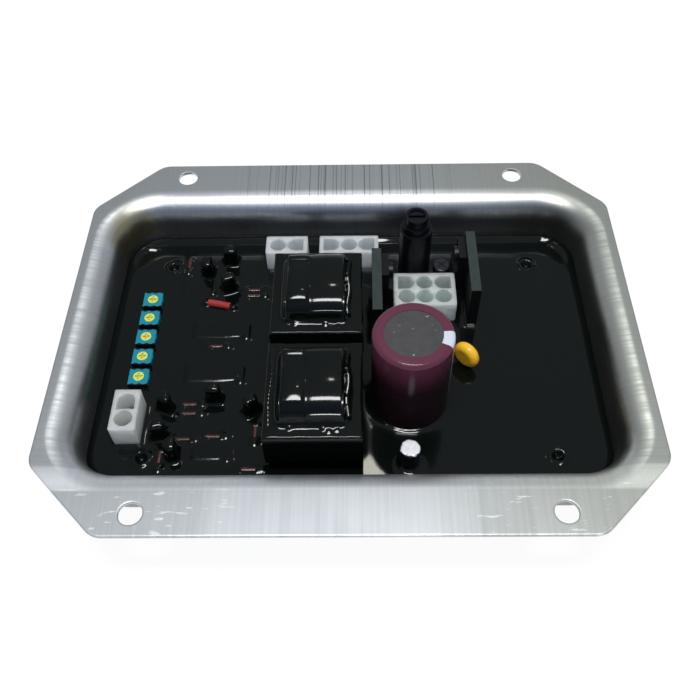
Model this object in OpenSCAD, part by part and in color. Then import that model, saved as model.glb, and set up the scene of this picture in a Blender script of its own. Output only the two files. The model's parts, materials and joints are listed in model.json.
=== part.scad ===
// Automatic voltage regulator: a circuit board potted in black resin inside a drawn sheet tray.
// Millimetres. The origin is at the centre of the tray's underside, +Z is up and +X runs along the tray.

/* [Tray] */
// Length of the flange along X
flange_w = 189; // [187:1:220]
// Width of the flange along Y
flange_d = 153; // [149:1:180]
// Leg of the 45 degree cut at each flange corner
flange_cut = 23; // [16:1:26]
// Radius at each vertex of the flange outline
flange_vertex_r = 7; // [3:0.5:10]
// Height of the tray, underside to flange top
tray_h = 30; // [27:0.5:40]
// Thickness of the sheet
sheet_t = 1.5; // [1:0.1:2]
// Length of the basin between its end walls
basin_w = 167; // [160:0.5:168]
// Width of the basin between its side walls
basin_d = 108; // [107:0.5:112]
// Radius of the basin's upright corners
basin_r = 14; // [10:0.5:18]
// Radius of the lip, on the side that shows
lip_r = 9; // [6:0.5:9.5]
// Radius between the basin's wall and floor
floor_r = 5; // [3:0.5:7]
// Diameter of the fixing holes
hole_d = 7; // [5:0.5:7.5]
// Distance between fixing holes along X
hole_pitch_x = 123; // [100:1:126]
// Distance between fixing holes along Y
hole_pitch_y = 139; // [137:0.5:142]

/* [Resin and board] */
// Depth of the resin above the tray's floor
potting_depth = 13.5; // [12:0.25:14]
// Length of the circuit board
board_w = 150; // [150:0.5:157]
// Width of the circuit board
board_d = 97; // [96:0.5:98]
// Thickness of the circuit board
board_t = 1.6; // [1:0.1:2]
// Radius of the board's corners
board_r = 4; // [2:0.5:6]
// Place of the board's centre along Y
board_y = -3.1; // [-3.5:0.1:-2]
// Height of the standoffs under the board
standoff_h = 6.9; // [6:0.1:7.5]
// Diameter of the standoffs
standoff_d = 7; // [6:0.5:9]
// Distance between board screws along X
board_screw_pitch_x = 131; // [128:0.5:134]
// Distance between board screws along Y
board_screw_pitch_y = 80.8; // [79:0.2:82]
// Diameter of the board screws
board_screw_d = 3; // [2.5:0.5:4]
// Diameter of a board screw's head
board_screw_head_d = 5.6; // [5:0.1:6.5]
// Height of a board screw's head
board_screw_head_h = 2.2; // [1.5:0.1:3]
// How far leads stick out under the board
lead_tail = 1.5; // [1:0.1:2.5]

/* [Trimmers] */
// Place of the trimmer row along X
trimmer_x = -70.5; // [-71:0.1:-69]
// Place of the rearmost trimmer along Y
trimmer_y = 20; // [18:0.1:24]
// Distance between trimmers
trimmer_pitch = 8.4; // [7.6:0.1:9]
// Side of a trimmer's square body
trimmer_w = 6.6; // [6:0.1:7]
// Height of a trimmer's body
trimmer_h = 5; // [4:0.1:6]
// Height of a trimmer's top above the board
trimmer_top = 7.2; // [6.5:0.1:8]
// Diameter of the round collar at a trimmer's top
trimmer_collar_d = 7; // [6.8:0.1:7.2]
// Diameter of the turning rotor
rotor_d = 3.6; // [3:0.1:4.4]
// Height of the rotor
rotor_h = 1.9; // [1.2:0.1:2.4]
// How far the rotor stands above the body
rotor_proud = 0.15; // [0:0.05:0.4]
// Radial gap between the rotor and its bore
rotor_gap = 0.08; // [0.05:0.01:0.1]
// Width of the rotor's cross slot
rotor_slot_w = 0.6; // [0.4:0.1:0.8]
// Length of the rotor's cross slot
rotor_slot_l = 2.6; // [2:0.1:2.8]
// Depth of the rotor's cross slot
rotor_slot_depth = 0.6; // [0.3:0.1:0.8]

/* [Connectors] */
// Distance between neighbouring ways
way_pitch = 6.35; // [6.2:0.05:6.5]
// Length of a housing with one way
housing_end = 8.8; // [8.2:0.1:9]
// Depth of a housing with one row
housing_d = 8.4; // [8:0.1:8.8]
// Height of a housing above the board
housing_h = 14.2; // [12.5:0.1:18]
// Radius of a housing's upright edges
housing_r = 0.6; // [0.3:0.1:1]
// Diameter of a way's cavity
cavity_d = 5.8; // [5.75:0.05:5.9]
// Height of a cavity's floor above the board
cavity_floor = 3; // [2:0.1:4]
// Diameter of a contact pin
pin_d = 2.1; // [1.6:0.1:2.4]
// Height of a contact pin's tip above the board
pin_tip = 8.6; // [6:0.1:9]
// Diameter of a contact's tail in the board
tail_d = 1.3; // [1:0.1:1.6]
// Place of the front connector along X
front_connector_x = -70.7; // [-71.2:0.1:-70.6]
// Place of the front connector along Y
front_connector_y = -31.1; // [-32:0.1:-28]
// Place of the rear two-way connector along X
rear_connector_x = -22.9; // [-23.5:0.1:-20]
// Place of the sensing connector along X
sensing_connector_x = -0.2; // [-1:0.1:1]
// Place of both rear connectors along Y
rear_connector_y = 39.8; // [38:0.1:40.5]
// Place of the power connector along X
power_connector_x = 26.4; // [26.3:0.05:26.6]
// Place of the power connector along Y
power_connector_y = 18; // [17:0.1:18.2]

/* [Transformers] */
// Place of both transformers along X
transformer_x = -10.8; // [-11.5:0.1:-10]
// Place of the rear transformer along Y
rear_transformer_y = 8.6; // [7.5:0.1:11]
// Place of the front transformer along Y
front_transformer_y = -30.4; // [-31.5:0.1:-29]
// Length of a core along the coil's axis
core_w = 29.2; // [28:0.1:30]
// Length of a core across the coil
core_d = 35; // [34:0.1:36]
// Width of a core's outer legs
core_leg = 5; // [4.5:0.1:5.5]
// Height of the stack of core sheets
core_stack = 14; // [12:0.5:16]
// Height of a core's underside above the board
core_lift = 10; // [9.5:0.1:12]
// Clearance between the bobbin and the core
bobbin_gap = 0.1; // [0.05:0.05:0.2]
// Wall of the bobbin's tube
bobbin_wall = 0.8; // [0.6:0.1:1]
// Thickness of the bobbin's flanges
bobbin_flange_t = 0.8; // [0.6:0.1:1]
// How far the coil stands above and below the core
coil_rise = 6.3; // [5:0.1:7]
// Radius of the coil's rounded corners
coil_r = 5.5; // [4:0.5:6]
// Length of the narrow winding
secondary_w = 6.1; // [5:0.1:8]
// How far the wide winding stays inside the bobbin's flanges
primary_inset = 0.3; // [0.2:0.1:0.8]
// How far the narrow winding stays inside the bobbin's flanges
secondary_inset = 1.1; // [0.8:0.1:2]
// Width of a terminal rail
rail_w = 4.6; // [4:0.1:4.8]
// Length of a terminal rail
rail_d = 22; // [18:0.5:24]
// Distance between the pins of a rail
rail_pin_pitch = 7.5; // [5:0.1:8.5]
// Diameter of a transformer pin
rail_pin_d = 0.9; // [0.6:0.1:1.2]

/* [Capacitor] */
// Place of the large capacitor along X
capacitor_x = 19.7; // [19.2:0.1:21]
// Place of the large capacitor along Y
capacitor_y = -21.5; // [-23:0.1:-20]
// Diameter over the sleeve
capacitor_d = 25; // [22:0.5:26]
// Height over the sleeve
capacitor_h = 40; // [30:0.5:50]
// Thickness of the sleeve
sleeve_t = 0.35; // [0.2:0.05:0.5]
// Radius of the sleeve's top edge
sleeve_edge_r = 1.6; // [1:0.1:2.5]
// Width of the sleeve's rim over the top and the bottom
sleeve_rim = 3.6; // [2.5:0.1:5]
// Distance between the capacitor's terminals
capacitor_terminal_pitch = 10; // [8:0.5:12]
// Diameter of the capacitor's terminals
capacitor_terminal_d = 1.5; // [1:0.1:2]

/* [Fuse holder] */
// Place of the fuse holder along X
fuse_x = 23.4; // [22.5:0.1:24]
// Place of the fuse holder along Y
fuse_y = 33.9; // [33:0.1:36]
// Diameter of the holder's body
fuse_body_d = 11.3; // [11:0.1:12]
// Height of the holder's body above the board
fuse_body_h = 28; // [27:0.1:30]
// Diameter of the bore round the fuse
fuse_bore_d = 6; // [5.6:0.1:6.6]
// Thickness of the body's bottom
fuse_floor = 3; // [2:0.1:4]
// Diameter of the fuse's end caps
fuse_d = 5.2; // [5:0.1:5.4]
// Length of the fuse
fuse_l = 20; // [19:0.5:20]
// Length of each end cap of the fuse
fuse_end_l = 5; // [4:0.5:6]
// Thickness of the metal of the fuse's end caps
fuse_end_t = 0.3; // [0.2:0.1:0.4]
// Thickness of the fuse's glass wall
fuse_glass_t = 0.8; // [0.5:0.1:1]
// Radial gap between the fuse and the turning cap
fuse_gap = 0.25; // [0.1:0.05:0.3]
// Diameter of the turning cap's skirt
cap_skirt_d = 8; // [7.6:0.1:8.2]
// Depth of the skirt in the body
cap_skirt_h = 6.8; // [6:0.1:7]
// Radial gap between the skirt and the body
cap_gap = 0.08; // [0.05:0.01:0.1]
// Diameter of the cap's shoulder
cap_shoulder_d = 9.2; // [9:0.1:10.5]
// Height of the cap's shoulder
cap_shoulder_h = 2.4; // [1.5:0.1:3]
// Diameter of the cap's knob
cap_knob_d = 7.8; // [7:0.1:8.6]
// Height of the cap's knob
cap_knob_h = 3.5; // [2.5:0.1:5]
// Width of the screwdriver slot across the knob
cap_slot_w = 1.2; // [0.8:0.1:1.6]
// Depth of the screwdriver slot
cap_slot_depth = 1; // [0.5:0.1:1.5]
// Turn that frees the cap
cap_turn = 45; // [30:5:70]
// Angle that a bayonet lug covers
lug_angle = 30; // [20:5:40]
// How far a bayonet lug stands out of the skirt
lug_out = 0.7; // [0.5:0.1:0.8]
// Height of a bayonet lug
lug_h = 1.6; // [1.2:0.1:2]
// Height of a bayonet lug above the skirt's lower end
lug_lift = 1.2; // [0.8:0.1:2]
// Gap round a bayonet lug in its slot
lug_gap = 0.15; // [0.1:0.05:0.3]

/* [Heat sinks] */
// Thickness of the heat sink plates
plate_t = 3.3; // [2.5:0.1:3.5]
// Length of the plates along Y
plate_d = 27.6; // [27:0.1:29]
// Height of the plates above the board
plate_h = 23.3; // [21:0.1:26]
// Place of the left plate's outer face along X
left_plate_x = 7.9; // [7.6:0.1:8]
// Place of the left plate's front end along Y
left_plate_y = 1.4; // [0:0.1:3]
// Place of the right plate's outer face along X
right_plate_x = 44.4; // [44.3:0.1:46]
// Place of the right plate's front end along Y
right_plate_y = 9.1; // [8.6:0.1:11]
// Width of a power device
device_w = 10.2; // [9.5:0.1:10.5]
// Thickness of a power device
device_t = 4.2; // [3.8:0.1:4.3]
// Height of a power device's thick part
device_body_h = 9; // [8:0.1:10]
// Height of a power device's thin top
device_tab_h = 6.6; // [6:0.1:7]
// Thickness of a power device's thin top
device_tab_t = 2.6; // [2:0.1:3]
// Height of the slope from a power device's thick part to its thin top
device_slope = 1.4; // [0.6:0.1:2]
// Height of a power device's underside above the board
device_lift = 5.6; // [5.2:0.1:6.5]
// Distance from a plate's rear end to the middle of its device
device_inset = 5.6; // [5.4:0.1:6]
// Distance between the leads of a device
device_lead_pitch = 2.54; // [2.2:0.01:3]
// Diameter of the screw through device and plate
device_screw_d = 3; // [2.5:0.1:3.2]
// Diameter of that screw's head
device_screw_head_d = 5.5; // [5:0.1:6]
// Height of that screw's head
device_screw_head_h = 1.4; // [1:0.1:1.5]

/* [Small parts] */
// Diameter of the wires of the small parts
lead_d = 0.6; // [0.4:0.05:0.8]
// Radius of a wire's bend, to its middle
lead_bend = 0.8; // [0.6:0.05:1]
// Place of the varistor along X
varistor_x = 39.3; // [38:0.1:42]
// Place of the varistor along Y
varistor_y = -7.5; // [-9:0.1:-6]
// Diameter of the varistor's disc
varistor_d = 9.6; // [8:0.1:10]
// Thickness of the varistor's disc
varistor_t = 4; // [3:0.1:4.5]
// Height of the varistor's lower edge above the board
varistor_lift = 5.2; // [5.1:0.1:7]
// Turn of the varistor about its upright axis
varistor_turn = -45; // [-70:5:-20]
// Distance between the varistor's leads
varistor_lead_pitch = 5; // [4:0.1:6]
// Diameter of the small upright capacitors
small_can_d = 6.3; // [5:0.1:6.3]
// Edge radius of the small upright capacitors
small_can_edge = 0.6; // [0.3:0.1:1]
// Length of the crossed scores on top of a small capacitor
score_l = 4; // [3:0.1:4.4]
// Width of those scores
score_w = 0.4; // [0.3:0.1:0.6]
// Depth of those scores
score_depth = 0.3; // [0.2:0.1:0.5]
// Distance between the leads of a small capacitor
small_can_lead_pitch = 2.5; // [2:0.1:3]
// Diameter of a transistor's round side
transistor_d = 4.8; // [4.2:0.1:4.8]
// Height of a transistor's body
transistor_h = 8; // [7.6:0.1:8.2]
// Distance from a transistor's axis to its flat
transistor_flat = 1.4; // [1:0.1:1.8]
// Height of a transistor's underside above the board
transistor_lift = 3.4; // [2.5:0.1:4]
// Distance between the leads of a transistor
transistor_lead_pitch = 1.27; // [1:0.01:1.5]
// Diameter of a resistor's ends
resistor_d = 2.3; // [2:0.1:2.3]
// Diameter of a resistor's middle
resistor_mid_d = 2; // [1.6:0.1:2]
// Length of a resistor
resistor_l = 6.2; // [5.5:0.1:6.4]
// Length of a resistor's thicker ends
resistor_end_l = 1.4; // [1:0.1:2]
// Distance between a resistor's holes in the board
resistor_span = 8.4; // [8:0.1:8.8]
// Height of a resistor's axis above the board
resistor_lift = 4.2; // [4:0.1:4.6]
// Diameter of the red axial capacitor
axial_d = 2.6; // [2:0.1:3]
// Length of the red axial capacitor
axial_l = 8.4; // [7:0.1:9]
// Radius of the red axial capacitor's end edges
axial_edge = 0.5; // [0.2:0.1:0.9]
// Distance between the axial capacitor's holes in the board
axial_span = 11; // [10:0.1:12]
// Height of the axial capacitor's axis above the board
axial_lift = 5.5; // [4.5:0.1:6.5]
// Width of an integrated circuit
circuit_w = 6.4; // [6:0.1:6.8]
// Height of an integrated circuit
circuit_h = 3.4; // [3:0.1:3.6]
// Height of an integrated circuit's underside above the board
circuit_lift = 0.6; // [0.4:0.1:1]
// Distance between the legs along an integrated circuit
circuit_leg_pitch = 2.54; // [2.4:0.02:2.6]
// Distance between the two rows of legs
circuit_row_pitch = 7.62; // [7.4:0.02:7.8]
// Length of the resistor row
network_l = 11.4; // [10:0.1:12]
// Width of the resistor row
network_w = 2.5; // [2:0.1:3]
// Height of the resistor row above the board
network_h = 4.7; // [4:0.1:5]

/* [Hidden] */
$fn = 48;

// Heights of the tray's floor, the board, the resin, the leads' ends and the board screws' ends
floor_z = sheet_t;
board_under = floor_z + standoff_h;
board_top = board_under + board_t;
potting_top = floor_z + potting_depth;
tail_z = board_under - lead_tail;
screw_foot_z = floor_z + standoff_h / 4;

// Half distances from the tray's centre to the centres of its basin corners
corner_x = basin_w / 2 - basin_r;
corner_y = basin_d / 2 - basin_r;

// A small overlap that keeps cuts clean
cut = 1;

// Places of the board's screws
BOARD_SCREWS = [
    for (sx = [-1, 1], sy = [-1, 1])
        [sx * board_screw_pitch_x / 2, board_y + sy * board_screw_pitch_y / 2]
];

// Transistors: place and turn of the flat
TRANSISTORS = [
    [-44.2, 39.6, 0],
    [-43.6, 26.3, 20],
    [-51.9, 34.1, 90],
    [-60, -24.9, -20],
    [-60.7, -35.4, 10],
    [-44.4, -21.5, 0],
    [-31.7, -26.1, 35],
    [-55.4, -42.2, 90],
];

// Resistors: place and turn of the axis
RESISTORS = [
    [-34.7, 26, 0],
    [-34.6, 23.3, 0],
    [-52.4, -23.4, 0],
    [-52.3, -26.9, 0],
    [-46, 0.5, 0],
    [-53.1, -36.6, 0],
    [-43.6, -35.6, 0],
    [-31.3, -47.6, 0],
    [-59.8, 38.7, 90],
    [-59.8, -43.4, 90],
    [-30.2, -34.1, 90],
];

// Integrated circuits: place and number of legs in a row
CIRCUITS = [
    [-54.7, 27.3, 4],
    [-44.8, 7, 7],
    [-45.4, -11.6, 7],
];

// Small upright capacitors: place and height above the board
SMALL_CANS = [
    [18.8, -45.4, 14],
    [33.2, 31.3, 12],
];

// Places of the red axial capacitor and the resistor row, and the turn of the first
AXIAL = [-46.8, 18.9, -13];
NETWORK = [-43.5, -43.9];
NETWORK_LEGS = 4;

// Points that lie on a circle of radius r between two angles
function arc_points(centre, r, from, to, steps) =
    [
        for (i = [0 : steps])
            let (angle = from + (to - from) * i / steps)
                centre + r * [cos(angle), sin(angle)]
    ];

// A point at distance d from another, in the direction of an angle
function polar(point, d, angle) = [point[0] + d * cos(angle), point[1] + d * sin(angle)];

// Places along one line through a point, evenly spread about it
function row(point, count, pitch, angle) =
    [for (i = [0 : count - 1]) polar(point, (i - (count - 1) / 2) * pitch, angle)];

// Places of a connector's ways, rows along the turned Y axis
function ways(place, columns, rows, angle) =
    [
        for (j = [0 : rows - 1])
            each row(polar(place, (j - (rows - 1) / 2) * way_pitch, angle + 90), columns, way_pitch, angle)
    ];

// Each connector: place, ways in a row, rows, turn, and its half square cavities as column, row and side
FRONT_CONNECTOR = [[front_connector_x, front_connector_y], 2, 1, 90, [[1, 0, -1]]];
REAR_CONNECTOR = [[rear_connector_x, rear_connector_y], 2, 1, 0, [[1, 0, 1]]];
SENSING_CONNECTOR = [[sensing_connector_x, rear_connector_y], 3, 1, 0, [[0, 0, -1], [2, 0, 1]]];
POWER_CONNECTOR = [[power_connector_x, power_connector_y], 3, 2, 0, [[0, 1, -1], [2, 1, 1]]];
CONNECTORS = [FRONT_CONNECTOR, REAR_CONNECTOR, SENSING_CONNECTOR, POWER_CONNECTOR];

function connector_ways(c) = ways(c[0], c[1], c[2], c[3]);

// Places of the transformers and of the pins in their rails
TRANSFORMERS = [[transformer_x, rear_transformer_y], [transformer_x, front_transformer_y]];
rail_x = coil_half_w() + rail_w / 2;
function coil_half_w() = core_w / 2 - core_leg - bobbin_gap;
function transformer_pins(place) =
    [for (side = [-1, 1]) each row(place + [side * rail_x, 0], 3, rail_pin_pitch, 90)];

// Places of the trimmers and of their three legs
trimmer_count = 5;
function trimmer_place(i) = [trimmer_x, trimmer_y - (i - 1) * trimmer_pitch];
trimmer_leg_pitch = 2.5;
function trimmer_legs_at(place) = row(place, 3, trimmer_leg_pitch, 0);

// Places of the power devices against the inner faces of the plates
left_device = [left_plate_x + plate_t, left_plate_y + plate_d - device_inset];
right_device = [right_plate_x - plate_t, right_plate_y + plate_d - device_inset];
device_leads =
    concat(
        row(left_device + [device_t / 2, 0], 3, device_lead_pitch, 90),
        row(right_device - [device_t / 2, 0], 3, device_lead_pitch, 90)
    );

// Places of the other leads
capacitor_place = [capacitor_x, capacitor_y];
capacitor_leads = row(capacitor_place, 2, capacitor_terminal_pitch, 0);
fuse_place = [fuse_x, fuse_y];
varistor_leads_at = row([varistor_x, varistor_y], 2, varistor_lead_pitch, varistor_turn);
transistor_leads = [for (t = TRANSISTORS) each row([t[0], t[1]], 3, transistor_lead_pitch, t[2])];
resistor_leads = [for (r = RESISTORS) each row([r[0], r[1]], 2, resistor_span, r[2])];
circuit_legs =
    [
        for (c = CIRCUITS, side = [-1, 1])
            each row([c[0], c[1] + side * circuit_row_pitch / 2], c[2], circuit_leg_pitch, 0)
    ];
small_can_leads = [for (s = SMALL_CANS) each row([s[0], s[1]], 2, small_can_lead_pitch, 0)];
axial_leads = row([AXIAL[0], AXIAL[1]], 2, axial_span, AXIAL[2]);
network_legs = row(NETWORK, NETWORK_LEGS, circuit_leg_pitch, 0);

trimmer_legs_all = [for (i = [1 : trimmer_count]) each trimmer_legs_at(trimmer_place(i))];
connector_tails = [for (c = CONNECTORS) each connector_ways(c)];
transformer_pins_all = [for (t = TRANSFORMERS) each transformer_pins(t)];

// Groups of straight leads: places, diameter and height of the upper end
LEADS = [
    [connector_tails, tail_d, board_top],
    [transformer_pins_all, rail_pin_d, board_top],
    [capacitor_leads, capacitor_terminal_d, board_top],
    [[fuse_place], tail_d, board_top],
    [trimmer_legs_all, lead_d, board_top + trimmer_top - trimmer_h],
    [device_leads, lead_d, board_top + device_lift],
    [varistor_leads_at, lead_d, board_top + varistor_lift],
    [transistor_leads, lead_d, board_top + transistor_lift],
    [circuit_legs, lead_d, board_top + circuit_lift + circuit_h / 2],
    [small_can_leads, lead_d, board_top],
    [network_legs, lead_d, board_top],
];

TRIMMER_BODIES = [for (i = [1 : trimmer_count]) str("trimmer_", i, "_body")];
TRIMMER_ROTORS = [for (i = [1 : trimmer_count]) str("trimmer_", i, "_rotor")];

// Plain shapes that several pieces share

module rounded_rect(w, d, r) {
    square([w - 2 * r, d], center = true);
    square([w, d - 2 * r], center = true);
    for (sx = [-1, 1], sy = [-1, 1])
        translate([sx * (w / 2 - r), sy * (d / 2 - r)])
            circle(r);
}

module quarter_ring(outer, inner, turn) {
    intersection() {
        difference() {
            circle(outer);
            if (inner > 0)
                circle(inner);
        }
        rotate(turn)
            square(outer + cut);
    }
}

module post(place, d, from, to) {
    translate([place[0], place[1], from])
        cylinder(d = d, h = to - from);
}

module posts(places, d, from, to) {
    for (p = places)
        post(p, d, from, to);
}

// Carries a section of the basin's wall once round the basin, from its corner centres outwards
module round_basin() {
    for (turn = [0, 180])
        rotate(turn) {
            translate([corner_x, 0, 0])
                rotate([90, 0, 0])
                    linear_extrude(2 * corner_y, center = true)
                        children();
            translate([0, corner_y, 0])
                rotate([90, 0, 90])
                    linear_extrude(2 * corner_x, center = true)
                        children();
            translate([corner_x, corner_y, 0])
                rotate_extrude(angle = 90)
                    children();
            translate([-corner_x, corner_y, 0])
                rotate(90)
                    rotate_extrude(angle = 90)
                        children();
        }
}

// Tray

module tray_wall_section() {
    square([basin_r - floor_r, sheet_t]);
    translate([basin_r - floor_r, floor_z + floor_r])
        quarter_ring(floor_r + sheet_t, floor_r, -90);
    translate([basin_r, floor_z + floor_r])
        square([sheet_t, tray_h - lip_r - floor_z - floor_r]);
    translate([basin_r + lip_r, tray_h - lip_r])
        quarter_ring(lip_r, lip_r - sheet_t, 90);
}

// The flange outline turns 45 degrees at each vertex, which an arc rounds
module flange_outline() {
    hx = flange_w / 2;
    hy = flange_d / 2;
    vertex_turn = 45;
    setback = flange_vertex_r * tan(vertex_turn / 2);
    steps = 6;
    quarter = concat(
        arc_points([hx - flange_vertex_r, hy - flange_cut - setback], flange_vertex_r, 0, vertex_turn, steps),
        arc_points([hx - flange_cut - setback, hy - flange_vertex_r], flange_vertex_r, vertex_turn, 90, steps)
    );
    last = len(quarter) - 1;
    upper = concat(quarter, [for (i = [0 : last]) [-quarter[last - i][0], quarter[last - i][1]]]);
    polygon(concat(upper, [for (p = upper) -p]));
}

module tray() {
    color("silver") {
        translate([0, 0, tray_h - sheet_t])
            linear_extrude(sheet_t)
                difference() {
                    flange_outline();
                    rounded_rect(basin_w + 2 * lip_r, basin_d + 2 * lip_r, basin_r + lip_r);
                    for (sx = [-1, 1], sy = [-1, 1])
                        translate([sx * hole_pitch_x / 2, sy * hole_pitch_y / 2])
                            circle(d = hole_d);
                }
        round_basin()
            tray_wall_section();
        translate([-corner_x, -corner_y, 0])
            cube([2 * corner_x, 2 * corner_y, sheet_t]);
    }
}

// Resin

module potting_section() {
    translate([0, floor_z])
        square([basin_r - floor_r, potting_depth]);
    translate([0, floor_z + floor_r])
        square([basin_r, potting_depth - floor_r]);
    translate([basin_r - floor_r, floor_z + floor_r])
        quarter_ring(floor_r, 0, -90);
}

module embedded_wires() {
    for (group = LEADS)
        posts(group[0], group[1], tail_z, min(group[2], potting_top + cut));
    bent_wires();
}

// The outer forms of what stands in the resin
module embedded_parts() {
    circuit_board_blank();
    board_standoffs();
    board_screws();
    for (i = [1 : trimmer_count])
        trimmer_blank(i);
    for (c = CONNECTORS)
        connector_blank(c);
    for (t = TRANSFORMERS)
        transformer_blank(t);
    post(capacitor_place, capacitor_d, board_top, potting_top + cut);
    post(fuse_place, fuse_body_d, board_top, potting_top + cut);
    left_heat_sink();
    right_heat_sink();
    for (s = SMALL_CANS)
        post(s, small_can_d, board_top, potting_top + cut);
    transistors();
    integrated_circuits();
    resistor_row();
    resistors();
    axial_capacitor();
}

module potting_blank() {
    round_basin()
        potting_section();
    translate([-corner_x, -corner_y, floor_z])
        cube([2 * corner_x, 2 * corner_y, potting_depth]);
}

module potting() {
    color([0.05, 0.06, 0.06])
        difference() {
            difference() {
                potting_blank();
                embedded_parts();
            }
            embedded_wires();
        }
}

// Board with its standoffs and screws

module circuit_board_blank() {
    translate([0, board_y, board_under])
        linear_extrude(board_t)
            rounded_rect(board_w, board_d, board_r);
}

module circuit_board() {
    color("darkgreen")
        difference() {
            circuit_board_blank();
            posts(BOARD_SCREWS, board_screw_d, board_under - cut, board_top + cut);
            for (group = LEADS)
                posts(group[0], group[1], board_under - cut, board_top + cut);
            posts(concat(resistor_leads, axial_leads), lead_d, board_under - cut, board_top + cut);
        }
}

module board_standoffs() {
    color("gold")
        for (p = BOARD_SCREWS)
            difference() {
                post(p, standoff_d, floor_z, board_under);
                post(p, board_screw_d, screw_foot_z, board_under + cut);
            }
}

module board_screws() {
    color("gray")
        for (p = BOARD_SCREWS) {
            post(p, board_screw_d, screw_foot_z, board_top + board_screw_head_h / 2);
            post(p, board_screw_head_d, board_top, board_top + board_screw_head_h);
        }
}

// Trimmers

module trimmer_blank(i) {
    top = board_top + trimmer_top;
    place = trimmer_place(i);
    collar_drop = 0.4;
    collar_h = 1.5;
    translate([place[0], place[1], top - trimmer_h])
        linear_extrude(trimmer_h)
            square(trimmer_w, center = true);
    post(place, trimmer_collar_d, top - collar_drop - collar_h, top - collar_drop);
}

module trimmer_body(i) {
    top = board_top + trimmer_top;
    floor_gap = 0.05;
    rotor_z = top + rotor_proud - rotor_h;
    color("dodgerblue")
        difference() {
            trimmer_blank(i);
            post(trimmer_place(i), rotor_d + 2 * rotor_gap, rotor_z - floor_gap, top + cut);
        }
}

module trimmer_rotor(i) {
    top = board_top + trimmer_top + rotor_proud;
    place = trimmer_place(i);
    color("gold")
        difference() {
            post(place, rotor_d, top - rotor_h, top);
            for (turn = [0, 90])
                translate([place[0], place[1], top])
                    rotate(turn)
                        cube([rotor_slot_l, rotor_slot_w, 2 * rotor_slot_depth], center = true);
        }
}

module trimmer_legs() {
    color("lightgray")
        posts(trimmer_legs_all, lead_d, tail_z, board_top + trimmer_top - trimmer_h);
}

// Connectors

module connector_blank(c) {
    w = housing_end + (c[1] - 1) * way_pitch;
    d = housing_d + (c[2] - 1) * way_pitch;
    translate([c[0][0], c[0][1], board_top])
        rotate(c[3])
            linear_extrude(housing_h)
                rounded_rect(w, d, housing_r);
}

// A cavity is round, and some are square on one side, so that a plug goes in one way only
module cavity(side) {
    circle(d = cavity_d);
    if (side != 0)
        translate([side > 0 ? 0 : -cavity_d / 2, -cavity_d / 2])
            square([cavity_d / 2, cavity_d]);
}

// The square side of one cavity, 0 when it is round
function keyed_side(c, column, row) =
    let (found = [for (k = c[4]) if (k[0] == column && k[1] == row) k[2]])
        len(found) > 0 ? found[0] : 0;

module connector_housing(c) {
    columns = c[1];
    rows = c[2];
    color("whitesmoke")
        difference() {
            connector_blank(c);
            translate([c[0][0], c[0][1], board_top + cavity_floor])
                rotate(c[3])
                    for (i = [0 : columns - 1], j = [0 : rows - 1])
                        translate([(i - (columns - 1) / 2) * way_pitch, (j - (rows - 1) / 2) * way_pitch, 0])
                            linear_extrude(housing_h)
                                cavity(keyed_side(c, i, j));
            posts(connector_ways(c), pin_d, board_top + cavity_floor / 2, board_top + cavity_floor + cut);
            posts(connector_ways(c), tail_d, board_top - cut, board_top + cavity_floor);
        }
}

module connector_pins(c) {
    tip_h = pin_d / 2;
    color("silver")
        for (p = connector_ways(c)) {
            post(p, tail_d, tail_z, board_top + cavity_floor);
            post(p, pin_d, board_top + cavity_floor / 2, board_top + pin_tip - tip_h);
            translate([p[0], p[1], board_top + pin_tip - tip_h])
                cylinder(d1 = pin_d, d2 = pin_d / 2, h = tip_h);
        }
}

// Transformers

core_mid = board_top + core_lift + core_stack / 2;
window_w = core_w - 2 * core_leg;
window_d = (core_d - 4 * core_leg) / 2;
bobbin_half_d = core_leg + window_d - bobbin_gap;
bobbin_half_h = core_stack / 2 + coil_rise;
tube_half_d = core_leg + bobbin_gap + bobbin_wall;
tube_half_h = core_stack / 2 + bobbin_gap + bobbin_wall;
split_x = -coil_half_w() + bobbin_flange_t + secondary_w;

// Lays a section across the coil along the coil's axis, between two places on that axis
module along_coil(place, from, to) {
    translate([place[0] + from, place[1], core_mid])
        rotate([90, 0, 90])
            linear_extrude(to - from)
                children();
}

module coil_section(inset) {
    rounded_rect(2 * (bobbin_half_d - inset), 2 * (bobbin_half_h - inset), coil_r - inset);
}

module transformer_blank(place) {
    along_coil(place, -coil_half_w(), coil_half_w())
        coil_section(0);
    terminal_rails(place);
}

module terminal_rails(place) {
    for (side = [-1, 1])
        translate([place[0] + side * rail_x - rail_w / 2, place[1] - rail_d / 2, board_top])
            cube([rail_w, rail_d, core_lift]);
}

module transformer_core(place) {
    color([0.18, 0.19, 0.19])
        translate([place[0], place[1], board_top + core_lift])
            linear_extrude(core_stack)
                difference() {
                    square([core_w, core_d], center = true);
                    for (side = [-1, 1])
                        translate([0, side * (core_leg + window_d / 2)])
                            square([window_w, window_d], center = true);
                }
}

module transformer_bobbin(place) {
    half = coil_half_w();
    color([0.1, 0.1, 0.1])
        difference() {
            union() {
                for (x = [-half, split_x, half - bobbin_flange_t])
                    along_coil(place, x, x + bobbin_flange_t)
                        coil_section(0);
                along_coil(place, -half, half)
                    square([2 * tube_half_d, 2 * tube_half_h], center = true);
                terminal_rails(place);
            }
            along_coil(place, -half - cut, half + cut)
                square([2 * (core_leg + bobbin_gap), core_stack + 2 * bobbin_gap], center = true);
            posts(transformer_pins(place), rail_pin_d, board_top - cut, board_top + rail_w / 2);
        }
}

module winding(place, from, to, inset) {
    along_coil(place, from, to)
        difference() {
            coil_section(inset);
            square([2 * tube_half_d, 2 * tube_half_h], center = true);
        }
}

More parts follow.
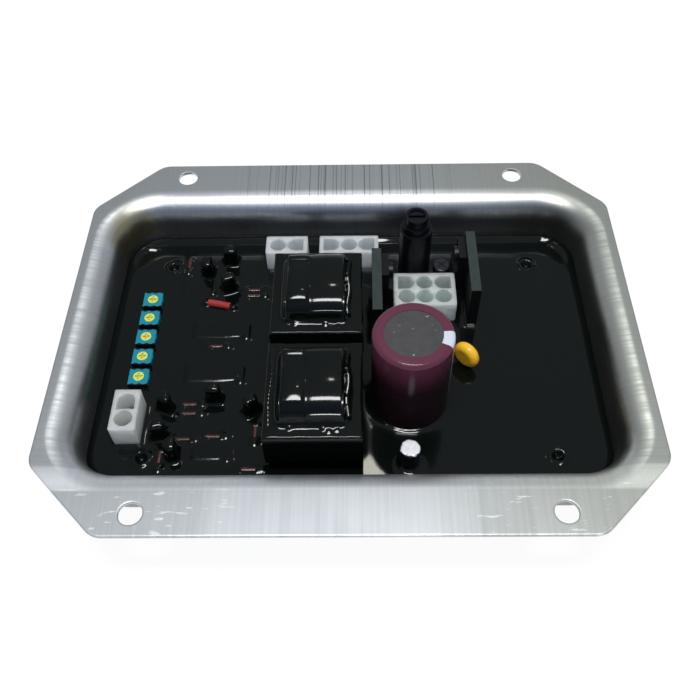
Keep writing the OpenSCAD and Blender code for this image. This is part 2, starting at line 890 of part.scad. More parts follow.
module transformer_primary(place) {
    color([0.12, 0.12, 0.11])
        winding(place, split_x + bobbin_flange_t, coil_half_w() - bobbin_flange_t, primary_inset);
}

module transformer_secondary(place) {
    color([0.08, 0.08, 0.16])
        winding(place, -coil_half_w() + bobbin_flange_t, split_x, secondary_inset);
}

module transformer_pin_set(place) {
    color("lightgray")
        posts(transformer_pins(place), rail_pin_d, tail_z, board_top + rail_w / 2);
}

// Large capacitor: half sections are turned about its upright axis

module capacitor_half(r, h, edge) {
    square([r, h - edge]);
    square([r - edge, h]);
    translate([r - edge, h - edge])
        circle(edge);
}

module at_capacitor() {
    translate([capacitor_x, capacitor_y, board_top])
        rotate_extrude()
            children();
}

can_r = capacitor_d / 2 - sleeve_t;
rim_r = capacitor_d / 2 - sleeve_rim;
can_h = capacitor_h - 2 * sleeve_t;

module capacitor_can() {
    color("silver")
        at_capacitor()
            translate([0, sleeve_t])
                capacitor_half(can_r, can_h, sleeve_edge_r - sleeve_t);
}

module capacitor_sleeve() {
    color([0.36, 0.12, 0.2])
        at_capacitor()
            difference() {
                capacitor_half(capacitor_d / 2, capacitor_h, sleeve_edge_r);
                translate([0, sleeve_t])
                    capacitor_half(can_r, can_h, sleeve_edge_r - sleeve_t);
                square([rim_r, capacitor_h]);
            }
}

module capacitor_top_disc() {
    color("dimgray")
        translate([capacitor_x, capacitor_y, board_top + sleeve_t + can_h])
            cylinder(r = rim_r, h = sleeve_t / 2);
}

module capacitor_terminals() {
    color("lightgray")
        posts(capacitor_leads, capacitor_terminal_d, tail_z, board_top + sleeve_t);
}

// Fuse holder with a turning bayonet cap

fuse_body_top = board_top + fuse_body_h;
skirt_z = fuse_body_top - cap_skirt_h;
lug_z = skirt_z + lug_lift;
contact_h = 1;
fuse_z = board_top + fuse_floor + contact_h;
cap_bore_d = fuse_d + 2 * fuse_gap;
glass_d = fuse_d - 2 * fuse_end_t;
glass_z = fuse_z + fuse_end_t;
glass_top = fuse_z + fuse_l - fuse_end_t;
end_gap = 0.2;
seat_gap = 0.1;

// A sector of a ring about the fuse's axis, centred on an angle
module ring_sector(r1, r2, middle, spread, from, to) {
    translate([fuse_x, fuse_y, from])
        rotate(middle - spread / 2)
            rotate_extrude(angle = spread)
                translate([r1, 0])
                    square([r2 - r1, to - from]);
}

module fuse_holder_body() {
    bore_r = cap_skirt_d / 2 + cap_gap;
    slot_r = cap_skirt_d / 2 + lug_out + lug_gap;
    side_room = 2 * lug_gap / slot_r * 180 / PI;
    color([0.09, 0.09, 0.1])
        difference() {
            post(fuse_place, fuse_body_d, board_top, fuse_body_top);
            post(fuse_place, fuse_bore_d, board_top + fuse_floor, fuse_body_top + cut);
            post(fuse_place, 2 * bore_r, skirt_z - end_gap, fuse_body_top + cut);
            post(fuse_place, tail_d, board_top - cut, board_top + fuse_floor + cut);
            for (side = [0, 180]) {
                ring_sector(
                    bore_r - cap_gap, slot_r,
                    side + cap_turn / 2, cap_turn + lug_angle + side_room,
                    lug_z - lug_gap, lug_z + lug_h + lug_gap
                );
                ring_sector(
                    bore_r - cap_gap, slot_r,
                    side + cap_turn, lug_angle + side_room,
                    lug_z - lug_gap, fuse_body_top + cut
                );
            }
        }
}

module fuse_holder_cap() {
    shoulder_z = fuse_body_top + seat_gap;
    knob_z = shoulder_z + cap_shoulder_h;
    top = knob_z + cap_knob_h;
    rim = 1;
    dish_d = cap_knob_d - 2 * rim;
    dish_h = 0.6;
    skirt_r = cap_skirt_d / 2;
    color([0.07, 0.07, 0.08])
        difference() {
            union() {
                post(fuse_place, cap_skirt_d, skirt_z, shoulder_z);
                post(fuse_place, cap_shoulder_d, shoulder_z, knob_z);
                post(fuse_place, cap_knob_d, knob_z, top);
                for (side = [0, 180])
                    ring_sector(skirt_r - cut, skirt_r + lug_out, side, lug_angle, lug_z, lug_z + lug_h);
            }
            post(fuse_place, cap_bore_d, skirt_z - cut, fuse_z + fuse_l + end_gap);
            post(fuse_place, dish_d, top - dish_h, top + cut);
            translate([fuse_x, fuse_y, top - dish_h])
                cube([dish_d, cap_slot_w, 2 * cap_slot_depth], center = true);
        }
}

module fuse_tube() {
    color([0.8, 0.85, 0.85, 0.5])
        difference() {
            post(fuse_place, glass_d, glass_z, glass_top);
            post(fuse_place, glass_d - 2 * fuse_glass_t, glass_z - cut, glass_top + cut);
        }
}

module fuse_end_caps() {
    color("silver")
        difference() {
            for (z = [fuse_z, fuse_z + fuse_l - fuse_end_l])
                post(fuse_place, fuse_d, z, z + fuse_end_l);
            post(fuse_place, glass_d, glass_z, glass_top);
        }
}

module fuse_contact() {
    color("gold") {
        post(fuse_place, fuse_d, board_top + fuse_floor, fuse_z);
        post(fuse_place, tail_d, tail_z, board_top + fuse_floor + contact_h / 2);
    }
}

// Heat sinks and power devices

screw_z = board_top + device_lift + device_body_h + device_tab_h / 2;

module plate(x, y, device_y) {
    color([0.3, 0.33, 0.32])
        difference() {
            translate([x, y, board_top])
                cube([plate_t, plate_d, plate_h]);
            translate([x - cut, device_y, screw_z])
                rotate([0, 90, 0])
                    cylinder(d = device_screw_d, h = plate_t + 2 * cut);
        }
}

module left_heat_sink() {
    plate(left_plate_x, left_plate_y, left_device[1]);
}

module right_heat_sink() {
    plate(right_plate_x - plate_t, right_plate_y, right_device[1]);
}

// A power device seen along its width, its back on the left
module device_section() {
    top = device_body_h + device_tab_h;
    polygon([
        [0, 0],
        [device_t, 0],
        [device_t, device_body_h - device_slope],
        [device_tab_t, device_body_h],
        [device_tab_t, top],
        [0, top],
    ]);
}

// The device's back lies on the plate, and its front looks along the given side of X
module power_device(place, side) {
    color([0.08, 0.08, 0.08])
        translate([place[0], place[1], board_top + device_lift])
            mirror([side > 0 ? 0 : 1, 0, 0])
                difference() {
                    rotate([90, 0, 0])
                        linear_extrude(device_w, center = true)
                            device_section();
                    translate([-cut, 0, device_body_h + device_tab_h / 2])
                        rotate([0, 90, 0])
                            cylinder(d = device_screw_d, h = device_tab_t + 2 * cut);
                }
}

module left_power_device() {
    power_device(left_device, 1);
}

module right_power_device() {
    power_device(right_device, -1);
}

module power_device_leads() {
    color("lightgray")
        posts(device_leads, lead_d, tail_z, board_top + device_lift);
}

module device_screw(place, side) {
    translate([place[0], place[1], screw_z])
        rotate([0, side * 90, 0]) {
            translate([0, 0, -plate_t])
                cylinder(d = device_screw_d, h = plate_t + device_tab_t + device_screw_head_h / 2);
            translate([0, 0, device_tab_t])
                cylinder(d = device_screw_head_d, h = device_screw_head_h);
        }
}

module heat_sink_screws() {
    color("gray") {
        device_screw(left_device, 1);
        device_screw(right_device, -1);
    }
}

// Small parts

module varistor() {
    color("orange")
        translate([varistor_x, varistor_y, board_top + varistor_lift + varistor_d / 2])
            rotate([90, 0, varistor_turn])
                rotate_extrude() {
                    translate([0, -varistor_t / 2])
                        square([varistor_d / 2 - varistor_t / 2, varistor_t]);
                    translate([varistor_d / 2 - varistor_t / 2, 0])
                        quarter_ring(varistor_t / 2, 0, 0);
                    translate([varistor_d / 2 - varistor_t / 2, 0])
                        quarter_ring(varistor_t / 2, 0, -90);
                }
}

// Each lead runs up to the round edge of the disc
varistor_lead_rise =
    varistor_d / 2 - sqrt(pow(varistor_d / 2, 2) - pow(varistor_lead_pitch / 2 + lead_d / 2, 2));

module varistor_leads() {
    color("lightgray")
        difference() {
            posts(varistor_leads_at, lead_d, tail_z, board_top + varistor_lift + varistor_lead_rise);
            varistor();
        }
}

module small_capacitors() {
    color([0.1, 0.1, 0.12])
        for (s = SMALL_CANS)
            translate([s[0], s[1], board_top])
                difference() {
                    rotate_extrude()
                        capacitor_half(small_can_d / 2, s[2], small_can_edge);
                    for (turn = [45, 135])
                        translate([0, 0, s[2]])
                            rotate(turn)
                                cube([score_l, score_w, 2 * score_depth], center = true);
                }
}

module transistors() {
    color([0.07, 0.07, 0.07])
        for (t = TRANSISTORS)
            translate([t[0], t[1], board_top + transistor_lift])
                rotate(t[2])
                    difference() {
                        cylinder(d = transistor_d, h = transistor_h);
                        translate([-transistor_d, -transistor_d - transistor_flat, -cut])
                            cube([2 * transistor_d, transistor_d, transistor_h + 2 * cut]);
                    }
}

module integrated_circuits() {
    end_margin = 1;
    color([0.08, 0.08, 0.08])
        for (c = CIRCUITS)
            translate([c[0], c[1], board_top + circuit_lift])
                linear_extrude(circuit_h)
                    square([(c[2] - 1) * circuit_leg_pitch + 2 * end_margin, circuit_w], center = true);
}

module resistors() {
    color([0.5, 0.25, 0.2])
        for (r = RESISTORS)
            translate([r[0], r[1], board_top + resistor_lift])
                rotate([0, 90, r[2]]) {
                    cylinder(d = resistor_mid_d, h = resistor_l - resistor_end_l, center = true);
                    for (side = [-1, 1])
                        translate([0, 0, side * (resistor_l - resistor_end_l) / 2])
                            cylinder(d = resistor_d, h = resistor_end_l, center = true);
                }
}

module axial_capacitor() {
    color("firebrick")
        translate([AXIAL[0], AXIAL[1], board_top + axial_lift])
            rotate([0, 90, AXIAL[2]])
                for (side = [0, 180])
                    rotate([side, 0, 0])
                        rotate_extrude()
                            capacitor_half(axial_d / 2, axial_l / 2, axial_edge);
}

module resistor_row() {
    color([0.1, 0.1, 0.1])
        translate([NETWORK[0], NETWORK[1], board_top])
            linear_extrude(network_h)
                square([network_l, network_w], center = true);
}

// A wire that comes out of each end of a lying part and bends down through the board
module bent_ends(place, turn, length, span, lift) {
    bend_x = span / 2 - lead_bend;
    wire_z = board_top + lift;
    for (side = [0, 180])
        translate([place[0], place[1], 0])
            rotate(turn + side) {
                translate([length / 2, 0, wire_z])
                    rotate([0, 90, 0])
                        cylinder(d = lead_d, h = bend_x - length / 2);
                translate([bend_x, 0, wire_z - lead_bend])
                    rotate([90, 0, 0])
                        rotate_extrude(angle = 90)
                            translate([lead_bend, 0])
                                circle(d = lead_d);
                post([span / 2, 0], lead_d, tail_z, wire_z - lead_bend);
            }
}

module bent_wires() {
    for (r = RESISTORS)
        bent_ends(r, r[2], resistor_l, resistor_span, resistor_lift);
    bent_ends(AXIAL, AXIAL[2], axial_l, axial_span, axial_lift);
}

module small_part_leads() {
    color("lightgray") {
        posts(transistor_leads, lead_d, tail_z, board_top + transistor_lift);
        posts(circuit_legs, lead_d, tail_z, board_top + circuit_lift + circuit_h / 2);
        posts(small_can_leads, lead_d, tail_z, board_top);
        posts(network_legs, lead_d, tail_z, board_top);
        bent_wires();
    }
}

tray();
potting();
circuit_board();
board_standoffs();
board_screws();
for (i = [1 : trimmer_count]) {
    trimmer_body(i);
    trimmer_rotor(i);
}
trimmer_legs();
connector_housing(FRONT_CONNECTOR);  // front_connector_housing
connector_pins(FRONT_CONNECTOR);  // front_connector_pins
connector_housing(REAR_CONNECTOR);  // rear_connector_housing
connector_pins(REAR_CONNECTOR);  // rear_connector_pins
connector_housing(SENSING_CONNECTOR);  // sensing_connector_housing
connector_pins(SENSING_CONNECTOR);  // sensing_connector_pins
connector_housing(POWER_CONNECTOR);  // power_connector_housing
connector_pins(POWER_CONNECTOR);  // power_connector_pins
transformer_core(TRANSFORMERS[0]);  // rear_transformer_core
transformer_bobbin(TRANSFORMERS[0]);  // rear_transformer_bobbin
transformer_primary(TRANSFORMERS[0]);  // rear_transformer_primary
transformer_secondary(TRANSFORMERS[0]);  // rear_transformer_secondary
transformer_pin_set(TRANSFORMERS[0]);  // rear_transformer_pins
transformer_core(TRANSFORMERS[1]);  // front_transformer_core
transformer_bobbin(TRANSFORMERS[1]);  // front_transformer_bobbin
transformer_primary(TRANSFORMERS[1]);  // front_transformer_primary
transformer_secondary(TRANSFORMERS[1]);  // front_transformer_secondary
transformer_pin_set(TRANSFORMERS[1]);  // front_transformer_pins
capacitor_can();
capacitor_sleeve();
capacitor_top_disc();
capacitor_terminals();
fuse_holder_body();
fuse_holder_cap();
fuse_tube();
fuse_end_caps();
fuse_contact();
left_heat_sink();
right_heat_sink();
left_power_device();
right_power_device();
power_device_leads();
heat_sink_screws();
varistor();
varistor_leads();
small_capacitors();
transistors();
integrated_circuits();
resistors();
axial_capacitor();
resistor_row();
small_part_leads();
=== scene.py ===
import json
import math

import bmesh
import bpy
import numpy as np
from mathutils import Matrix, Vector


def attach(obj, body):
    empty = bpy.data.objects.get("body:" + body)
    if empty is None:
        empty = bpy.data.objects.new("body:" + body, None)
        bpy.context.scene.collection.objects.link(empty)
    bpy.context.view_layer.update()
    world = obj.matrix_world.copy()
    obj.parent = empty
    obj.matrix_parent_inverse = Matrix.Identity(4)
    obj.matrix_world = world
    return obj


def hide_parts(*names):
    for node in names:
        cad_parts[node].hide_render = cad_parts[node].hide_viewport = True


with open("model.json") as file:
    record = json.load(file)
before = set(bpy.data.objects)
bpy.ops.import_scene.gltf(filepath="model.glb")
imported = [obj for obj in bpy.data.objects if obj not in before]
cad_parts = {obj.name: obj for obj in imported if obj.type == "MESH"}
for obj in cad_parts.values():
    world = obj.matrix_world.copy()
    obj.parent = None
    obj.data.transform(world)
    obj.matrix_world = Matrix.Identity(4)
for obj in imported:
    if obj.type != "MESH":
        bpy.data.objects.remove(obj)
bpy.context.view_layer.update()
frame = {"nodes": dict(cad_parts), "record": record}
cad = frame["nodes"]
BODY = "regulator"
MM = 0.001


# Places and sizes in millimetres, from the frame where a node has them

def node_box(name):
    """Centre and half sizes of a node's box along x and y."""
    corners = np.array([cad[name].matrix_world @ Vector(c) for c in cad[name].bound_box]) / MM
    low, high = corners.min(0), corners.max(0)
    return tuple(round(float(v), 3) for v in (*(low + high)[:2] / 2, *(high - low)[:2] / 2))


FLANGE_X, FLANGE_Y = node_box("tray")[2:]
BASIN_X, BASIN_Y = node_box("potting")[2:]
BOARD_Y = node_box("circuit_board")[1]
CONNECTOR_FEET = {"front": (4.2, 7.6), "rear": (7.6, 4.2), "sensing": (10.75, 4.2), "power": (10.75, 7.4)}
CONNECTORS = [(*node_box(key + "_connector_housing")[:2], *half) for key, half in CONNECTOR_FEET.items()]
HEAT_SINKS = [node_box(key + "_heat_sink") for key in ("left", "right")]
TRANSFORMERS = {key: node_box(key + "_transformer_core")[:2] for key in ("rear", "front")}
TRIMMERS = [node_box(f"trimmer_{i}_body")[:2] for i in range(1, 6)]
TRIMMER_PITCH = TRIMMERS[0][1] - TRIMMERS[1][1]
TRIMMER_HALF = 3.3
CAPACITOR = node_box("capacitor_sleeve")[:2]
CAPACITOR_R = node_box("capacitor_sleeve")[2]
FUSE_HOLDER = node_box("fuse_tube")[:2]
FUSE_HOLDER_R = 5.65
VARISTOR = node_box("varistor_leads")[:2]
FRONT_CAN, REAR_CAN, CAN_R = (18.8, -45.4), (33.2, 31.3), 3.15

# Small parts: centre and turn, or centre and number of legs on a side
TRANSISTORS = [(-44.2, 39.6, 0), (-43.6, 26.3, 20), (-51.9, 34.1, 90), (-60, -24.9, -20), (-60.7, -35.4, 10),
               (-44.4, -21.5, 0), (-31.7, -26.1, 35), (-55.4, -42.2, 90)]
RESISTORS = [(-34.7, 26, 0), (-34.6, 23.3, 0), (-52.4, -23.4, 0), (-52.3, -26.9, 0), (-46, 0.5, 0),
             (-53.1, -36.6, 0), (-43.6, -35.6, 0), (-31.3, -47.6, 0), (-59.8, 38.7, 90), (-59.8, -43.4, 90),
             (-30.2, -34.1, 90)]
CIRCUITS = [(-54.7, 27.3, 4), (-44.8, 7, 7), (-45.4, -11.6, 7)]
LEG_PITCH = 2.54
SCREWS = [(sx * 65.5, y) for sx in (-1, 1) for y in (37.3, -43.5)]
AXIAL_ENDS, AXIAL_TURN = ((-51.7, 20.0), (-41.9, 17.8)), -13


# Meshes and pieces

def mesh_object(name, verts, faces):
    """A smooth object from vertices in millimetres and faces."""
    mesh = bpy.data.meshes.new(name)
    mesh.from_pydata([tuple(MM * c for c in v) for v in verts], [], [tuple(f) for f in faces])
    mesh.update()
    mesh.polygons.foreach_set("use_smooth", [True] * len(mesh.polygons))
    obj = bpy.data.objects.new(name, mesh)
    bpy.context.scene.collection.objects.link(obj)
    return obj


def piece(obj, slot, replaces=()):
    """Gives an object the material of a slot and its body, and hides the nodes that it stands for."""
    obj.data.materials.append(MATERIALS[slot])
    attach(obj, BODY)
    for node in replaces:
        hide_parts(node)


def add_ring(verts, points):
    """Adds points to the vertices and returns their numbers."""
    verts.extend(points)
    return list(range(len(verts) - len(points), len(verts)))


def ring_faces(first, second):
    """Quads between two closed rings of vertex numbers."""
    n = len(first)
    return [(first[i], first[(i + 1) % n], second[(i + 1) % n], second[i]) for i in range(n)]


def grid_face(number, i, j):
    """Quad of a grid of vertex numbers."""
    return number[i, j], number[i + 1, j], number[i + 1, j + 1], number[i, j + 1]


def sharp_edges(obj, degrees):
    """Keeps edges crisp where faces meet at more than the angle."""
    bm = bmesh.new()
    bm.from_mesh(obj.data)
    bmesh.ops.recalc_face_normals(bm, faces=bm.faces)
    limit = math.radians(degrees)
    for edge in bm.edges:
        edge.smooth = len(edge.link_faces) != 2 or edge.calc_face_angle(0.0) < limit
    bm.to_mesh(obj.data)
    bm.free()


# Nodes of a material, in metres

def set_value(socket, value):
    """Sets a socket, with an opaque alpha added to a colour."""
    socket.default_value = (*value, 1.0) if socket.type == "RGBA" and len(value) == 3 else value


def feed(mat, target, source):
    """Links a socket or sets a plain value."""
    if isinstance(source, bpy.types.NodeSocket):
        mat.node_tree.links.new(source, target)
    else:
        set_value(target, source)


def bsdf_input(mat, name, source):
    feed(mat, mat.node_tree.nodes["Principled BSDF"].inputs[name], source)


def new_material(name, **inputs):
    """A principled material, with underscores for the spaces in the names of its inputs."""
    mat = bpy.data.materials.new(name)
    mat.use_nodes = True
    for key, value in inputs.items():
        bsdf_input(mat, key.replace("_", " "), value)
    return mat


def add_node(mat, kind, **settings):
    made = mat.node_tree.nodes.new("ShaderNode" + kind)
    for key, value in settings.items():
        setattr(made, key, value)
    return made


def place(mat):
    return add_node(mat, "TexCoord").outputs["Object"]


def axis_of(mat, vector):
    made = add_node(mat, "SeparateXYZ")
    feed(mat, made.inputs[0], vector)
    return made.outputs


def calc(mat, operation, a, b=0.0, c=0.0):
    made = add_node(mat, "Math", operation=operation)
    for socket, value in zip(made.inputs, (a, b, c)):
        feed(mat, socket, value)
    return made.outputs[0]


def times(mat, first, *others):
    for other in others:
        first = calc(mat, "MULTIPLY", first, other)
    return first


def plus(mat, first, *others):
    for other in others:
        first = calc(mat, "ADD", first, other)
    return first


def step_between(mat, value, low, high, to_low=0.0, to_high=1.0):
    """A smooth step from one value to another."""
    made = add_node(mat, "MapRange", interpolation_type="SMOOTHSTEP")
    for socket, item in zip(made.inputs, (value, low, high, to_low, to_high)):
        feed(mat, socket, item)
    return made.outputs[0]


def between(mat, value, low, high, soft):
    """1 between two values, fading to 0 over a soft border."""
    return times(mat, step_between(mat, value, low - soft, low), step_between(mat, value, high + soft, high))


def blend_values(mat, factor, a, b):
    made = add_node(mat, "Mix", data_type="FLOAT")
    for socket, item in zip((made.inputs[0], made.inputs[2], made.inputs[3]), (factor, a, b)):
        feed(mat, socket, item)
    return made.outputs[0]


def blend_colours(mat, factor, a, b, how="MIX"):
    made = add_node(mat, "Mix", data_type="RGBA", blend_type=how)
    for socket, item in zip((made.inputs[0], made.inputs[6], made.inputs[7]), (factor, a, b)):
        feed(mat, socket, item)
    return made.outputs[2]


def noise(mat, scale, stretch=(1, 1, 1), detail=3.0):
    """Noise in the part's own coordinates, scale in features per metre."""
    mapping = add_node(mat, "Mapping")
    feed(mat, mapping.inputs["Vector"], place(mat))
    mapping.inputs["Scale"].default_value = stretch
    made = add_node(mat, "TexNoise")
    feed(mat, made.inputs["Vector"], mapping.outputs[0])
    made.inputs["Scale"].default_value = scale
    made.inputs["Detail"].default_value = detail
    return made.outputs["Fac"]


def bump(mat, height, strength, distance):
    made = add_node(mat, "Bump")
    feed(mat, made.inputs["Height"], height)
    made.inputs["Strength"].default_value = strength
    made.inputs["Distance"].default_value = distance
    bsdf_input(mat, "Normal", made.outputs[0])


def from_centre(mat, centre):
    """Distances along x and y from a place in millimetres."""
    x, y, _ = axis_of(mat, place(mat))
    return calc(mat, "SUBTRACT", x, centre[0] * MM), calc(mat, "SUBTRACT", y, centre[1] * MM)


def radius_from(mat, centre):
    dx, dy = from_centre(mat, centre)
    return calc(mat, "SQRT", plus(mat, times(mat, dx, dx), times(mat, dy, dy)))


def wedge_mask(mat, centre, low, high):
    """1 between two angles about an upright axis."""
    dx, dy = from_centre(mat, centre)
    angle = calc(mat, "ARCTAN2", dy, dx)
    above = calc(mat, "GREATER_THAN", angle, math.radians(low))
    below = calc(mat, "LESS_THAN", angle, math.radians(high))
    return times(mat, above, below)


# Materials

def sheet_colour(mat, x, y, z, streak, shade):
    """Colour of the sheet, with painted highlights along the lip and painted shade on the walls, the rear
    right lip and the front flange's ends.
    """
    base = blend_colours(mat, step_between(mat, x, 0.0, 0.09), (0.565, 0.59, 0.615), (0.555, 0.57, 0.53))
    tone = step_between(mat, shade, 0.25, 0.55, 0.86, 1.03)
    # painted shade: the wall is made darker below the lip, towards the resin
    painted_wall_shade = step_between(mat, z, 0.029, 0.022, 1.0, 0.58)
    # painted highlights: the lip's roll, the front lip, the rear left corner's lip and the crests of the
    # sides are made paler
    painted_roll_highlight = times(mat, between(mat, z, 0.0258, 0.0289, 0.0009), step_between(mat, y, 0.050, 0.030), 0.2)
    painted_front_lip_highlight = times(mat, step_between(mat, z, 0.0249, 0.0265),
                      between(mat, y, -0.0618, -0.055, 0.0012), 0.35)
    painted_rear_left_lip_highlight = times(mat, step_between(mat, x, -0.062, -0.074), between(mat, y, 0.040, 0.060, 0.008),
                          between(mat, z, 0.0276, 0.0296, 0.0003), 0.35)
    painted_crest_highlights = times(mat, step_between(mat, z, 0.0286, 0.0298), step_between(mat, z, 0.02999, 0.02990),
                        between(mat, y, -0.050, 0.046, 0.010),
                        step_between(mat, streak, 0.30, 0.65, 0.25, 0.7))
    # painted shade: the right wall, the rear right lip and the ends of the front flange are made darker
    painted_right_wall_shade = times(mat, step_between(mat, x, 0.050, 0.080), step_between(mat, z, 0.029, 0.025), 0.25)
    painted_rear_right_lip_shade = times(mat, step_between(mat, x, 0.030, 0.080), step_between(mat, y, 0.046, 0.054),
                           step_between(mat, z, 0.0299, 0.0290), 0.22)
    off_middle = calc(mat, "ABSOLUTE", plus(mat, x, 0.002))
    painted_flange_end_shade = times(mat, step_between(mat, off_middle, 0.0355, 0.0415),
                        step_between(mat, y, -0.059, -0.063), 0.14)
    # The painted highlights lighten the sheet's colour and the painted shades darken it.
    paler = plus(mat, painted_roll_highlight, painted_front_lip_highlight, painted_rear_left_lip_highlight, painted_crest_highlights)
    darker = plus(mat, painted_right_wall_shade, painted_rear_right_lip_shade, painted_flange_end_shade)
    lip = calc(mat, "SUBTRACT", plus(mat, paler, 1.0), darker)
    return blend_colours(mat, 1.0, base, times(mat, tone, painted_wall_shade, lip), "MULTIPLY")


def sheet_wear(mat, x, y, z, cloud, sheet):
    """A stain inside the rear left corner, dark lines across the rear flange and scuffs on the front one."""
    facing_x, facing_y, _ = axis_of(mat, add_node(mat, "TexCoord").outputs["Normal"])
    outward = plus(mat, times(mat, x, facing_x), times(mat, y, facing_y))
    stain = times(mat, between(mat, x, -0.084, -0.072, 0.006), between(mat, y, 0.040, 0.058, 0.006),
                  between(mat, z, 0.018, 0.028, 0.003), step_between(mat, cloud, 0.40, 0.55),
                  calc(mat, "LESS_THAN", outward, 0.0), 0.8)
    stained = blend_colours(mat, stain, sheet, (0.42, 0.38, 0.22))
    lines = step_between(mat, noise(mat, 1.0, (1500, 3, 3), 1.0), 0.57, 0.66)
    rear = times(mat, lines, between(mat, x, -0.032, 0.030, 0.012), step_between(mat, y, 0.054, 0.060), 0.6)
    lined = blend_colours(mat, rear, stained, (0.10, 0.11, 0.12))
    scuffs = step_between(mat, noise(mat, 1.0, (160, 700, 160), 3.0), 0.63, 0.70)
    ends = step_between(mat, calc(mat, "ABSOLUTE", x), 0.026, 0.040)
    front = times(mat, scuffs, ends, step_between(mat, y, -0.056, -0.062), 0.55)
    return blend_colours(mat, front, lined, (0.90, 0.91, 0.92))


def tray_material():
    """Mill finish sheet with streaks across each bend, and painted highlights and painted shade in its
    colour.
    """
    mat = new_material("tray_metal", Metallic=1.0)
    x, y, z = axis_of(mat, place(mat))
    across_x = noise(mat, 1.0, (900, 14, 14), 2.0)
    across_y = noise(mat, 1.0, (14, 900, 14), 2.0)
    diagonal = calc(mat, "SUBTRACT", calc(mat, "ABSOLUTE", x), calc(mat, "ABSOLUTE", y))
    on_sides = step_between(mat, diagonal, 0.020, 0.040)
    streak = blend_values(mat, on_sides, across_x, across_y)
    cloud = noise(mat, 35.0, detail=4.0)
    shade = plus(mat, times(mat, streak, 0.35), times(mat, cloud, 0.45))
    sheet = sheet_colour(mat, x, y, z, streak, shade)
    bsdf_input(mat, "Base Color", sheet_wear(mat, x, y, z, cloud, sheet))
    brushed = step_between(mat, y, -0.052, -0.060, 0.0, 0.16)
    drawn = step_between(mat, z, 0.026, 0.020, 0.0, 0.08)
    rough = step_between(mat, shade, 0.25, 0.55, 0.41, 0.31)
    bsdf_input(mat, "Roughness", plus(mat, rough, calc(mat, "MAXIMUM", brushed, drawn)))
    rippled = times(mat, streak, step_between(mat, z, 0.020, 0.028), plus(mat, on_sides, 1.0))
    bump(mat, rippled, 0.12, 0.0002)
    return mat


def resin_material():
    """Glossy black resin with a faint ripple."""
    mat = new_material("resin", Base_Color=(0.0020, 0.0036, 0.0031), Roughness=0.085,
                       Specular_IOR_Level=0.225)
    bump(mat, noise(mat, 260.0, detail=2.0), 0.05, 0.0003)
    return mat


def sleeve_material():
    """Plum film with painted shade making it darker towards its foot, and a pale stripe down one side and
    over the rim.
    """
    mat = new_material("sleeve", Roughness=0.20, Specular_IOR_Level=0.22)
    z = axis_of(mat, place(mat))[2]
    # painted shade: the film is made darker towards its foot
    base = blend_colours(mat, step_between(mat, z, 0.034, 0.0492), (0.020, 0.009, 0.012),
                         (0.115, 0.030, 0.055))
    stripe = times(mat, wedge_mask(mat, CAPACITOR, -21.5, 4.0), step_between(mat, z, 0.018, 0.040))
    striped = blend_colours(mat, stripe, base, (0.26, 0.27, 0.29))
    on_rim = times(mat, wedge_mask(mat, CAPACITOR, -24.5, 4.0), calc(mat, "GREATER_THAN", z, 0.0490))
    bsdf_input(mat, "Base Color", blend_colours(mat, on_rim, striped, (0.62, 0.66, 0.74)))
    return mat


def disc_material():
    """Grained grey disc with pale specks."""
    mat = new_material("top_disc", Roughness=0.4, Specular_IOR_Level=0.25)
    grain = noise(mat, 450.0, detail=4.0)
    grey = blend_colours(mat, grain, (0.045, 0.044, 0.045), (0.078, 0.077, 0.077))
    specks = step_between(mat, noise(mat, 900.0, detail=2.0), 0.70, 0.76)
    bsdf_input(mat, "Base Color", blend_colours(mat, specks, grey, (0.30, 0.30, 0.28)))
    return mat


def plate_material():
    """Dark plate whose top edge is bare and grey, with its sides painted near black as shade."""
    mat = new_material("plate_dark", Specular_IOR_Level=0.2)
    bare = calc(mat, "GREATER_THAN", axis_of(mat, place(mat))[2], 0.03325)
    grain = noise(mat, 700.0, (1, 0.3, 1))
    grey = blend_colours(mat, grain, (0.020, 0.030, 0.028), (0.042, 0.056, 0.053))
    # painted shade: every face below the top edge is made near black
    bsdf_input(mat, "Base Color", blend_colours(mat, bare, (0.006, 0.008, 0.008), grey))
    bsdf_input(mat, "Roughness", plus(mat, times(mat, bare, 0.25), 0.3))
    return mat


def nylon_material():
    """Translucent moulding: greener by the capacitor, bluer at the rear, and at the front painted greyer on
    top and paler down the sides as light.
    """
    mat = new_material("nylon", Roughness=0.42, Subsurface_Weight=1.0, Subsurface_Scale=0.011,
                       Subsurface_Radius=(1.0, 1.0, 1.0))
    x, y, z = axis_of(mat, place(mat))
    # painted light: the front housings are made greyer on top and paler down their sides
    front = blend_colours(mat, step_between(mat, z, 0.0240, 0.0215), (0.72, 0.75, 0.71), (0.98, 1.0, 0.92))
    base = blend_colours(mat, step_between(mat, x, 0.010, 0.016), front, (0.79, 0.93, 0.86))
    rear = times(mat, step_between(mat, y, 0.030, 0.034), step_between(mat, x, -0.04, -0.03))
    bsdf_input(mat, "Base Color", blend_colours(mat, rear, base, (0.84, 0.95, 1.0)))
    return mat


def trimmer_material():
    """Blue moulding whose front and rear edges the resin bites into."""
    mat = new_material("trimmer_blue", Roughness=0.35, Specular_IOR_Level=0.3)
    along, behind = from_centre(mat, TRIMMERS[0])
    half_pitch = TRIMMER_PITCH / 2 * MM
    across = calc(mat, "WRAP", behind, half_pitch, -half_pitch)
    edge = calc(mat, "SUBTRACT", TRIMMER_HALF * MM, calc(mat, "ABSOLUTE", across))
    wave = calc(mat, "SINE", times(mat, along, 2 * math.pi / (2.6 * MM)))
    reach = plus(mat, times(mat, wave, 0.22 * MM), 0.36 * MM)
    bite = calc(mat, "LESS_THAN", edge, reach)
    bsdf_input(mat, "Base Color", blend_colours(mat, bite, (0.006, 0.225, 0.31), (0.004, 0.006, 0.007)))
    return mat


